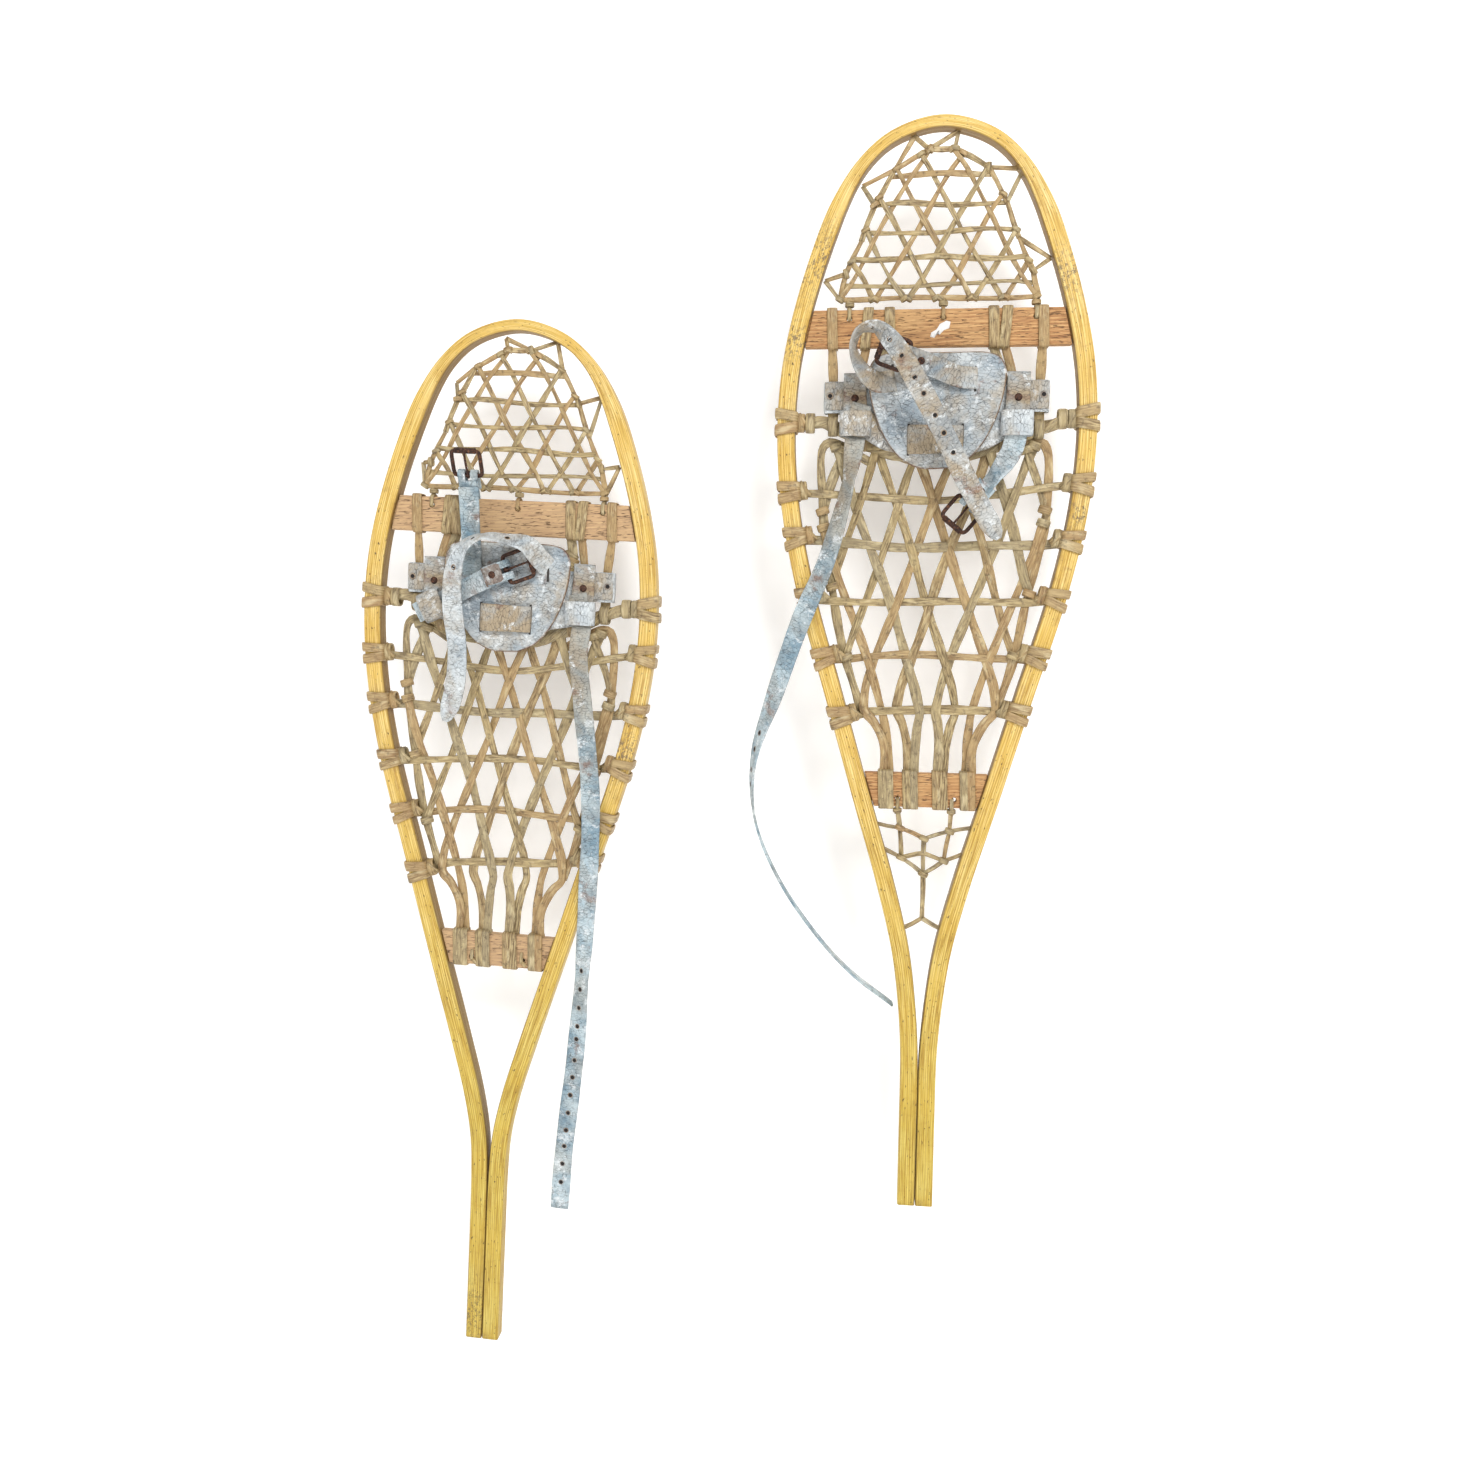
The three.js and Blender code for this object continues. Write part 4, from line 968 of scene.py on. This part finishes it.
def build_centre_net(shoe):
    """The coarse net from the toe cord to the heel bar, with its wraps round rails and bar."""
    part = Part(shoe)
    rng = part.rng
    edge = [CENTRE_TOP] + both_sides(CENTRE_EDGE)
    strands = []
    for k, (left, middle, right) in enumerate(shoe.rows):
        ends = [(shoe.inner(w, side) + 1.5 * side, w) for w, side in ((left, -1), (right, 1))]
        quarters = [(-60, (left + 2 * middle) / 3), (0, middle), (60, (right + 2 * middle) / 3)]
        points = catmull([ends[0], *quarters, ends[1]], 8)
        strands.append({"points": wander(points, rng, 1.0), "family": 0, "index": k})
    bottoms = []
    for sign, family in ((1, 1), (-1, 2)):
        for k in range(-6, 7):
            start = k * CENTRE_PITCH + rng.normal(0, 1.2)
            hits = clip(start, CENTRE_LEVEL, sign * CENTRE_SLOPE, edge)
            if len(hits) < 2 or hits[-1][1] - hits[0][1] < CENTRE_PITCH:
                continue
            low, high = hits[0], hits[-1]
            strand = {"points": [low, high], "family": family, "index": k}
            strands.append(strand)
            if low[1] < CENTRE_FOOT:
                bottoms.append(strand)
            else:
                hitch(part, (low[0], NET_Y, low[1]), (1, 0, -3 * sign), *CENTRE_HITCH)
            if abs(high[0]) < CORD_REACH:
                strand["points"] = [low, (high[0], shoe.cord_w(high[0]))]
            else:
                hitch(part, (high[0], NET_Y, high[1]), (1, 0, 3 * sign), *CENTRE_HITCH)
    bottoms.sort(key=lambda strand: strand["points"][0][0])
    share = len(bottoms) / len(HEEL_WRAPS)
    for k, strand in enumerate(bottoms):
        wrap = HEEL_WRAPS[min(int(k / share), len(HEEL_WRAPS) - 1)]
        aim = wrap + (3.2 if k % 2 else -3.2)
        low = strand["points"][0]
        foot = [(aim, 440), (aim * 1.02, 470), (0.5 * (aim * 1.04 + low[0]), 494)]
        strand["points"] = foot + strand["points"]
    for strand in strands[len(shoe.rows):]:
        smooth = catmull(strand["points"], 6) if len(strand["points"]) > 2 else strand["points"]
        strand["points"] = wander(smooth, rng, 1.3)
    for path, strand in zip(weave(strands, WEAVE_LIFT), strands):
        width = COARSE * (0.86 + 0.28 * rng.random())
        part.strand(path, width, 2.2, ((0, 0.3, 0.7, 1), rng.normal(0, 0.22, 4)), wobble=0.07)
    for side in (-1, 1):
        line = [(side * u, w) for u, w in CENTRE_EDGE]
        path = at_depth(wander(catmull(line, 6), rng, 1.2), NET_Y + 0.8)
        part.strand(path, COARSE, 2.4, ((0, 0.5, 1), rng.normal(0, 0.3, 3)))
    for left, _, right in shoe.rows:
        for w, side in ((left, -1), (right, 1)):
            rail_wrap(part, shoe, w, side)
    for u in HEEL_WRAPS:
        for shift in (-3.4, 3.4):
            bar_wrap(part, u + shift, HEEL_BAR_W, (1.2, 1.3), 8.4, 2.0, 0.8)
    part.make("centre_net", "rawhide", "shoe", "centre_lacing")


def rail_wrap(part, shoe, w, side, width=9.4, spread=5.2):
    """Two turns of rawhide round the rail, drawn together on the inside by a hitch."""
    centre, outward, along = shoe.rail(w, side)
    half = RAIL_SIZE / 2 + 1.3
    for k in (-1, 1):
        tilt = k * part.rng.uniform(0.8, 2.2)
        part.ring(
            centre, outward, DEPTH, half, half, width * part.rng.uniform(0.92, 1.12), 2.5,
            shift=(k * spread, tilt), power=7, steps=40, tint=part.rng.uniform(0.6, 1.0),
        )
    inside = centre - outward * (RAIL_SIZE / 2 + 5)
    inside[1] = NET_Y
    hitch(part, inside, outward, 8.0, 2.6, 7.8, 5.8)
    knot = inside - outward * 6
    part.strand(
        [inside + along * 8 + outward * 3, inside + along * 2 - DEPTH * 6.4, knot - along * 6 - DEPTH * 3],
        6.5, 2.2, ((0, 1), (0.2, 0.6)),
    )


def build_heel_web(shoe):
    """The small web under the heel bar of one shoe."""
    part = Part(shoe)
    rng = part.rng
    for points in HEEL_WEB:
        path = at_depth(wander(points, rng, 0.8))
        part.strand(path, 4.6, 2.6, ((0, 1), rng.normal(0, 0.5, 2)))
    for u, w in [(0, 342), (-22, 358), (20, 356), (-24, 388), (25, 386), (0, 378)]:
        hitch(part, (u, NET_Y, w), (0.4, 0, 1), 5.0, 2.2, 4.0, 3.8)
    for u, w in shoe.heel_holes:
        bar_tie(part, u, w, HEEL_BAR_W, -1, 402)
    part.make("heel_web", "rawhide", "shoe", "heel_lacing")


def build_loose_ties(shoe):
    """The short ends left in the heel bar's holes on the shoe without a heel web."""
    part = Part(shoe)
    for u, w in shoe.heel_holes:
        hole_turn(part, u, w - 4.5, 6.2)
        part.strand([(u, BAR_Y - 5.5, w - 8), (u + 5, BAR_Y - 8, w - 12)], 3.6, 2.2)
    part.make("heel_ties", "rawhide", "shoe")


def build_cord(shoe):
    """Three rawhide thongs laid round each other between the rails."""
    part = Part(shoe)
    path = evenly(catmull(at_depth(shoe.cord, BAR_Y), 10), 3.0)
    along = unit(np.gradient(path, axis=0))
    s = lengths(path)
    for k in range(3):
        angle = s / 13 + k * 2 * math.pi / 3
        side = unit(np.cross(along, DEPTH))
        out = side * np.cos(angle)[:, None] + DEPTH * np.sin(angle)[:, None]
        pinch = 1 - 0.45 * np.clip((np.abs(path[:, 0]) - 100) / 30, 0, 1)[:, None]
        centre = path + out * 3.3 * pinch
        across = turned(out, along, np.full(len(path), math.pi / 2))
        part.sweep(centre, across, out, 5.2, 2.3, STRIP)
    for side in (-1, 1):
        w = shoe.cord_w(side * 140)
        rail_wrap(part, shoe, w, side, 10.5, 6.4)
        centre, outward, _ = shoe.rail(w, side)
        inside = centre - outward * (RAIL_SIZE / 2 + 14)
        inside[1] = BAR_Y
        hitch(part, inside, outward, 9, 2.4, 8.5, 7.0)
    part.make("cord", "rawhide", "shoe", "toe_cord")


def build_side_strands(shoe, tag):
    """Strands beside the toe hole: the upper lengths to the crossbar, the lower lengths to the cord."""
    upper, lower = Part(shoe), Part(shoe)
    for low_u, top_u in shoe.strands[tag]:
        middle = low_u + (top_u - low_u) * 0.45
        path = catmull([(low_u, -9, 819), (middle, -9.4, 836), (top_u, -10, 856)], 6)
        upper.strand(path, 8.6, 2.6, ((0, 1), upper.rng.normal(0, 0.35, 2)), step=3)
        bar_wrap(upper, top_u, TOE_BAR_W, (1.3, 1.4), 10, 2.1, upper.rng.normal(0, 1.0))
        base = shoe.cord_w(low_u)
        lower.strand([(low_u, -9, base), (low_u, -9, 806), (low_u, -9, 819.5)], 8.8, 3.2, step=3)
        lower.ring((low_u, BAR_Y, base), (0, 0, 1), DEPTH, 8.4, 8.0, 9.5, 2.2, power=2.4, steps=24)
    inner_low, inner_top = shoe.strands[tag][0]
    path = catmull([(inner_low, -9, 819), ((inner_low + inner_top) / 2, -9, 830), (inner_top, -9, 843)], 6)
    for k in range(5):
        at = path[2 + 2 * k]
        hitch(upper, at, (0.5, 0, 1), 5, 2.2, 6.4, 5.0)
    to_frame = ("shoe", (0, -9, 823), (0, -9, 853))
    upper.make(f"strands_upper_{tag}", "rawhide", "binding", f"side_strands_{tag}", to_frame)
    to_binding = ("binding", (0, -9, 778), (0, -9, 800))
    lower.make(f"strands_lower_{tag}", "rawhide", "shoe", None, to_binding)


# ---------- leather ----------
def build_pad(shoe):
    """A thick leather sheet whose edge curls a little towards the boot."""
    part = Part(shoe)
    edge = catmull(both_sides(PAD_EDGE) + PAD_EDGE[:1], 6)[:-1]
    middle = np.array([0.0, PAD_MIDDLE])
    shares = np.array([0.02, 0.2, 0.4, 0.6, 0.78, 0.9, 0.965, 0.99, 1.0])
    drop = np.array([0, 0, 0, 0, 0, 0, 0.12, 0.45, 1.0])
    front = [(t, -PAD_HALF * (1 - d)) for t, d in zip(shares, drop)]
    back = [(t, PAD_HALF * (1 - d)) for t, d in zip(shares[-2::-1], drop[-2::-1])]
    rings = []
    for t, offset in front + back:
        flat = middle + (edge - middle) * t
        curl = -2.6 * t**5 - 0.9 * np.sin(flat[:, 0] / 24) * t * t + 0.7 * np.sin(flat[:, 1] / 15)
        rings.append(np.column_stack([flat[:, 0], PAD_Y + offset + curl * 0.8, flat[:, 1]]))
    rings = np.array(rings)
    grain = rings[..., [0, 2, 1]] * MM
    rim = [1.35 if t > 0.98 else 0.3 for t, _ in front + back]
    part.skin(rings, grain, tint=np.array(rim)[:, None])
    part.make("pad_sheet", "leather", "binding", "pad")
    # dark strips of painted shade at the mouths of the pad's slits
    slits = Part(shoe)
    for u in (-PATCH_SLIT, PATCH_SLIT):
        box_strip(slits, u, shoe.patch_w, 2.2, 30)
    for u in STRAP_SLITS:
        box_strip(slits, u * shoe.side, sum(SLIT_W) / 2, 2.4, 26)
    slits.make("slits", "dark", "binding")


def box_strip(part, u, w, width, height):
    """A dark strip of painted shade at the mouth of a slit in the pad."""
    path = at_depth([(u, w - height / 2), (u, w), (u, w + height / 2)], SLIT_Y)
    part.strand(path, width, 1.0, wobble=0.0)


def build_cross_strap(shoe):
    """The patch in front of the pad, the wings each side of it and their end loops."""
    part = Part(shoe)
    w = shoe.patch_w
    front = [(-26, -21, w, 0), (-25.4, -25, w, 0), (-22, -28.2, w, 0), (-8, -29.0, w, 0), (8, -29.0, w, 0),
             (22, -28.2, w, 0), (25.4, -25, w, 0), (26, -21, w, 0)]
    part.ribbon(front, 27, 2.8, 6, tint=1.0)
    for side in (-1, 1):
        run = [(side * 26, -20, w, 0), (side * 45, -20.2, w + 4, 0), (side * 62, -20.6, 779, 0),
               (side * 74, -20.4, 783, 0)]
        part.ribbon(run, 26, 2.6, 8)
        turn = math.radians(shoe.loop_turn["l" if side < 0 else "r"])
        across = np.array([math.cos(turn), 0, -math.sin(turn)])
        centre = (side * LOOP_U, -25.4, LOOP_W)
        part.ring(centre, across, DEPTH, 14.0, 6.4, 24, 2.7, power=2.8, steps=40, section=LEATHER)
    part.make("cross_strap_leather", "leather", "binding", "cross_strap")


def build_ears(shoe, side):
    """One side's upright tab, its rivet and the band that ties the binding to the strands."""
    tag = "l" if side < 0 else "r"
    tab = Part(shoe)
    run = [(side * 76, -20, 786, 0), (side * EAR_U, -19.6, RIVET_W, 0), (side * 77.4, -18.4, 830, 0)]
    tab.ribbon(run, 22, 2.7, 10, rust_at=20)
    tab.make(f"tab_{tag}", "leather", "binding", f"ear_tab_{tag}")
    rivet = Part(shoe)
    rivet_head(rivet, (side * EAR_U, -21.0, RIVET_W), 3.7, 1.6)
    rivet.make(f"rivet_{tag}", "iron", "binding", f"ear_rivet_{tag}")
    band = Part(shoe)
    band.ring(
        (side * 81.5, BAR_Y, 808), (1, 0, 0), DEPTH, 24.6, 5.4, 30, 2.4, power=5, steps=48, section=LEATHER
    )
    band.ribbon(
        [(side * 84, -15.8, 809, 0), (side * 96, -16.2, 809, 0), (side * 106, -15.2, 809, 0)], 26, 2.2, 8
    )
    prick(band, (side * 101, -17.5, 809), (1, 0, 0), (0, -1, 0), 2.0)
    to_binding = ("binding", (0, -9, 782), (0, -9, 794))
    band.make(f"band_{tag}", "leather", "shoe", f"side_band_{tag}", to_binding)


def rivet_head(part, at, radius, height):
    """A low domed head facing the viewer."""
    a = np.linspace(0, 2 * math.pi, 18, endpoint=False)
    rings = []
    for share, rise in ((0.05, 1.0), (0.45, 0.95), (0.75, 0.75), (0.95, 0.35), (1.0, 0.0), (0.95, -0.4)):
        u = at[0] + radius * share * np.cos(a)
        y = np.full(len(a), at[1] - height * rise)
        w = at[2] + radius * share * np.sin(a)
        rings.append(np.column_stack([u, y, w]))
    rings = np.array(rings)
    part.skin(rings, rings[..., [0, 2, 1]] * MM)


def prick(part, at, across, normal, radius):
    """A punched hole: a low rim round a dark middle of painted shade."""
    at, across, normal = (np.array(v, float) for v in (at, across, normal))
    other = np.cross(normal, across)
    a = np.linspace(0, 2 * math.pi, 14, endpoint=False)
    circle = np.cos(a)[:, None] * across + np.sin(a)[:, None] * other
    # the third value is the tint; 2.0 gives the hole's middle its painted shade
    profile = ((1.8, -0.3, 1.0), (1.4, 0.08, 1.1), (1.08, 0.12, 1.2), (0.98, 0.02, 2.0), (0.05, 0.02, 2.0))
    rings = np.array([at + circle * radius * r + normal * h for r, h, _ in profile])
    part.skin(rings, rings * MM, tint=np.array([[shade] for _, _, shade in profile]))


def punch(part, path, across, through, s, start, pitch, count, radius=1.9):
    """A row of punched holes along the front of a strap."""
    for k in range(count):
        at = start + k * pitch
        if at > s[-1] - 8:
            break
        i = int(np.searchsorted(s, at))
        normal = through[i] if through[i][1] < 0 else -through[i]
        prick(part, path[i] + normal * (STRAP_THICK / 2 + 0.05), across[i], normal, radius)


def build_toe_strap(shoe, data):
    """The run through the pad's slits, the end with the buckle and the free end over the toe."""
    end = "toe_strap_end"
    run = Part(shoe)
    run.ribbon(data["run"], STRAP, STRAP_THICK, 8)
    run.make("toe_strap_run", "leather", "binding", "toe_strap")
    buckle_end = Part(shoe)
    buckle_end.ribbon(data["toe_buckle"], STRAP, STRAP_THICK, 10, tint=0.5)
    chape(buckle_end, data["toe_at"])
    free = Part(shoe)
    tone = 0.75 if shoe.side < 0 else 0.1
    path, across, through, s = free.ribbon(data["toe_free"], STRAP, STRAP_THICK, 12, point=16, tint=tone)
    punch(free, path, across, through, s, *data["free_holes"])
    if shoe.side > 0:
        finish, fold = "strap", (end, (0, -25, 818), (0, -25, 842))
    else:
        finish, fold = "leather", (end, (30, -25, 822), (6, -25, 824))
    buckle_end.make("toe_strap_buckle_end", finish, "binding", None, fold, slot="binding_leather")
    free.make("toe_strap_free_end", "leather", "binding", None, (end, (0, -36, 806), (0, -46, 848)))


def build_heel_straps(shoe, data):
    """The long strap with its root in the loop, and the short strap that carries the buckle."""
    strap = Part(shoe)
    path, across, through, s = strap.ribbon(data["long"], STRAP - 1, STRAP_THICK, 12, tanned=(60, 190))
    punch(strap, path, across, through, s, *data["long_holes"])
    strap.make("long_strap", "strap", "heel_strap", "heel_strap_long")
    root = Part(shoe)
    root.ribbon(data["root"], STRAP - 1.6, STRAP_THICK, 8, tint=1.0)
    root.make("long_strap_root", "strap", "binding")
    short = Part(shoe)
    short.ribbon(data["short"], STRAP, STRAP_THICK, 10)
    chape(short, data["heel_at"], rusty=shoe.side > 0)
    short.make("short_strap", "strap", "binding", "heel_strap_short")


# ---------- buckles ----------
def buckle_space(at, turn, tilt):
    """A buckle's own space: x from its bar to its roller, z along the bar."""
    return (
        Matrix.Translation(at)
        @ Matrix.Rotation(math.radians(turn), 4, "Y")
        @ Matrix.Rotation(math.radians(tilt), 4, "Z")
    )


def from_buckle(matrix, points):
    return np.array([tuple(matrix @ Vector(p)) for p in points])


def chape(part, where, rusty=False):
    """The strap's end, folded round the buckle's bar and riveted down in front."""
    matrix = buckle_space(*where)
    fold = [
        (-16, 3.3, 0), (-8, 3.3, 0), (-2, 3.4, 0), (2.6, 2.6, 0), (4.0, 0, 0), (2.6, -2.6, 0),
        (-2, -3.4, 0), (-10, -3.6, 0), (-22, -3.8, 0),
    ]
    z = np.array(matrix.to_3x3() @ Vector((0, 0, 1)))
    for low, high in ((-10, -2.6), (2.6, 10)):
        shift = z * (low + high) / 2
        path = catmull(from_buckle(matrix, fold) + shift, 5)
        part.flat_strip(path, z, (high - low) / 2, STRAP_THICK / 2, 0.5)
    path = from_buckle(matrix, [(-24, -3.9, 0), (-16, -3.9, 0), (-9, -3.8, 0), (-5, -3.6, 0)])
    part.flat_strip(path, z, 9.9, 1.35, 1.2 if rusty else 0.5)


def build_buckle(shoe, kind, where, body):
    """A wire frame with bar, roller and rivet, and the prong that turns on the bar."""
    matrix = buckle_space(*where)
    frame = Part(shoe)
    corner = oval(56, 7)
    outline = [(FRAME_MIDDLE + FRAME_HALF[0] * a, 0, FRAME_HALF[1] * b) for a, b in corner]
    frame.wire(from_buckle(matrix, outline), FRAME_WIRE, closed=True)
    bar = from_buckle(matrix, [(0, 0, -14), (0, 0, -5), (0, 0, 5), (0, 0, 14)])
    frame.wire(bar, BAR_WIRE)
    roller = from_buckle(matrix, [(25.2, 0, -10.5), (25.2, 0, 0), (25.2, 0, 10.5)])
    frame.wire(roller, ROLLER_WIRE)
    rivet = from_buckle(matrix, [(-15, -5.6, 0)])[0]
    rivet_head(frame, rivet, 3.6, 1.3)
    frame.make(f"{kind}_buckle_frame", "iron", body, f"{kind}_buckle")
    prong = Part(shoe)
    a = np.linspace(math.pi * 0.6, math.pi * 2.2, 14)
    eye = [(PRONG_EYE * math.sin(t), -PRONG_EYE * math.cos(t), 0) for t in a]
    tip = [(8, -3.0, 0), (14, -3.2, 0.2), (20, -3.1, 0.2), (26.6, -2.9, 0)]
    path = from_buckle(matrix, eye + tip)
    prong.wire(catmull(path, 3), PRONG_WIRE)
    prong.make(f"{kind}_prong_wire", "iron", f"{kind}_prong", f"{kind}_buckle_prong")


# ---------- studio ----------
def build_studio(low, high):
    """A pale wall behind the pair that runs down into a pale floor; it is clear from behind."""
    wall_y = high.y + WALL_GAP
    floor_z = low.z - FLOOR_DROP
    bend = FLOOR_BEND
    profile = [(wall_y, STUDIO_REACH), (wall_y, floor_z + bend)]
    for k in range(1, 13):
        a = k * math.pi / 24
        profile.append((wall_y - bend + bend * math.cos(a), floor_z + bend - bend * math.sin(a)))
    profile.append((wall_y - 8.0, floor_z))
    verts = [(x, y, z) for y, z in profile for x in (-STUDIO_REACH, STUDIO_REACH)]
    faces = [(2 * i, 2 * i + 2, 2 * i + 3, 2 * i + 1) for i in range(len(profile) - 1)]
    mesh = bpy.data.meshes.new("backdrop")
    mesh.from_pydata(verts, [], faces)
    mesh.polygons.foreach_set("use_smooth", [True] * len(mesh.polygons))
    wall = bpy.data.objects.new("backdrop", mesh)
    bpy.context.scene.collection.objects.link(wall)
    m = Nodes("backdrop")
    tree = m.tree
    facing = m.add("ShaderNodeNewGeometry").outputs["Backfacing"]
    clear = m.add("ShaderNodeBsdfTransparent").outputs[0]
    mix = m.add("ShaderNodeMixShader")
    tree.links.new(facing, mix.inputs[0])
    tree.links.new(m.shader.outputs[0], mix.inputs[1])
    tree.links.new(clear, mix.inputs[2])
    tree.links.new(mix.outputs[0], tree.nodes["Material Output"].inputs["Surface"])
    away = m.add("ShaderNodeVectorMath", {0: m.object_space()}, operation="LENGTH").outputs["Value"]
    glow = m.math("ADD", m.times(m.band(away, 1.1, 2.8), 0.5), 0.17)
    mesh.materials.append(m.finish(
        Base_Color=(0.93, 0.93, 0.93), Roughness=0.9, Emission_Color=(1, 1, 1), Emission_Strength=glow,
    ))


def area_light(name, place, target, size, power):
    data = bpy.data.lights.new(name, "AREA")
    data.size, data.energy = size, power
    light = bpy.data.objects.new(name, data)
    light.location = place
    light.rotation_euler = (Vector(target) - Vector(place)).to_track_quat("-Z", "Y").to_euler()
    bpy.context.scene.collection.objects.link(light)


def build_lights():
    """A soft world, seen white by the camera, with a key light and a fill light in front."""
    world = bpy.data.worlds.new("studio")
    world.use_nodes = True
    tree = world.node_tree
    soft = tree.nodes["Background"]
    white = tree.nodes.new("ShaderNodeBackground")
    for background, strength in ((soft, 0.5), (white, 1.0)):
        background.inputs[0].default_value = (1, 1, 1, 1)
        background.inputs[1].default_value = strength
    choose = tree.nodes.new("ShaderNodeMixShader")
    tree.links.new(tree.nodes.new("ShaderNodeLightPath").outputs["Is Camera Ray"], choose.inputs[0])
    tree.links.new(soft.outputs[0], choose.inputs[1])
    tree.links.new(white.outputs[0], choose.inputs[2])
    tree.links.new(choose.outputs[0], tree.nodes["World Output"].inputs[0])
    bpy.context.scene.world = world
    bpy.context.scene.view_settings.view_transform = "Standard"
    area_light("key", (1.1, -2.3, 2.6), (0, 0, 0.6), 0.9, 64)
    area_light("fill", (-1.8, -2.2, 1.0), (0, 0, 0.6), 2.2, 16)


def build_camera(shoe):
    """The view, worked out from the right shoe's tail end and the plane of the rails' front faces."""
    pan, tilt, roll = (math.radians(a) for a in CAMERA_TURNS)
    tail = Vector(shoe.place(np.array([0, -RAIL_SIZE, 0])))
    forward = Vector((math.sin(pan) * math.cos(tilt), math.cos(pan) * math.cos(tilt), math.sin(tilt)))
    level = Vector((math.cos(pan), -math.sin(pan), 0))
    above = level.cross(forward)
    right = math.cos(roll) * level + math.sin(roll) * above
    up = -math.sin(roll) * level + math.cos(roll) * above
    data = bpy.data.cameras.new("camera")
    data.sensor_width = SENSOR
    data.lens = SENSOR / 2 / math.tan(math.radians(CAMERA_FIELD) / 2)
    camera = bpy.data.objects.new("camera", data)
    place = tail + Vector(CAMERA_FROM_TAIL)
    rotation = Matrix((right, up, -forward)).transposed().to_4x4()
    camera.matrix_world = Matrix.Translation(place) @ rotation
    bpy.context.scene.collection.objects.link(camera)
    bpy.context.scene.camera = camera


# ---------- the pair ----------
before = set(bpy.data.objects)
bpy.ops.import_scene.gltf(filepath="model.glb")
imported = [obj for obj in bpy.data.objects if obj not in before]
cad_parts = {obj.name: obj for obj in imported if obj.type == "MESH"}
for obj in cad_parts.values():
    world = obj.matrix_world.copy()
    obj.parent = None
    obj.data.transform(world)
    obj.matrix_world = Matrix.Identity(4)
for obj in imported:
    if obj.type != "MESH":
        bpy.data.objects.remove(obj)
CAD_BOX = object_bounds()
BINDING_LEATHER = leather("binding_leather", (0.54, 0.57, 0.575), (0.26, 0.31, 0.35), 0.65)
STRAP_LEATHER = leather("strap_leather", (0.47, 0.57, 0.61), (0.16, 0.26, 0.33), 0.3)
# each finish's material and the slot that it fills
MATERIALS = {
    "rail": (rail_wood(), "rail_wood"),
    "rawhide": (rawhide(), "rawhide"),
    "leather": (BINDING_LEATHER, "binding_leather"),
    "strap": (STRAP_LEATHER, "strap_leather"),
    "iron": (rusty_iron(), "rusty_iron"),
    # the dark finish: painted shade for the mouths of slits
    "dark": (plain("slit_painted_shade", (0.05, 0.045, 0.04), 0.9), "binding_leather"),
    "chip": (plain("bare_chip", (0.95, 0.93, 0.9), 0.8), "crossbar_wood"),
}

for data in (LEFT, RIGHT):
    shoe = Shoe(data)
    straps = STRAPS[shoe.name]
    build_rail(shoe)
    dress_bars(shoe)
    build_toe_net(shoe)
    build_centre_net(shoe)
    build_cord(shoe)
    build_side_strands(shoe, "l")
    build_side_strands(shoe, "r")
    if shoe.name == "right":
        build_heel_web(shoe)
        build_chip(shoe)
    else:
        build_loose_ties(shoe)
    build_pad(shoe)
    build_cross_strap(shoe)
    build_ears(shoe, -1)
    build_ears(shoe, 1)
    build_toe_strap(shoe, straps)
    build_heel_straps(shoe, straps)
    build_buckle(shoe, "toe", straps["toe_at"], "toe_strap_end")
    build_buckle(shoe, "heel", straps["heel_at"], "binding")

build_studio(*CAD_BOX)
build_lights()
build_camera(shoe)
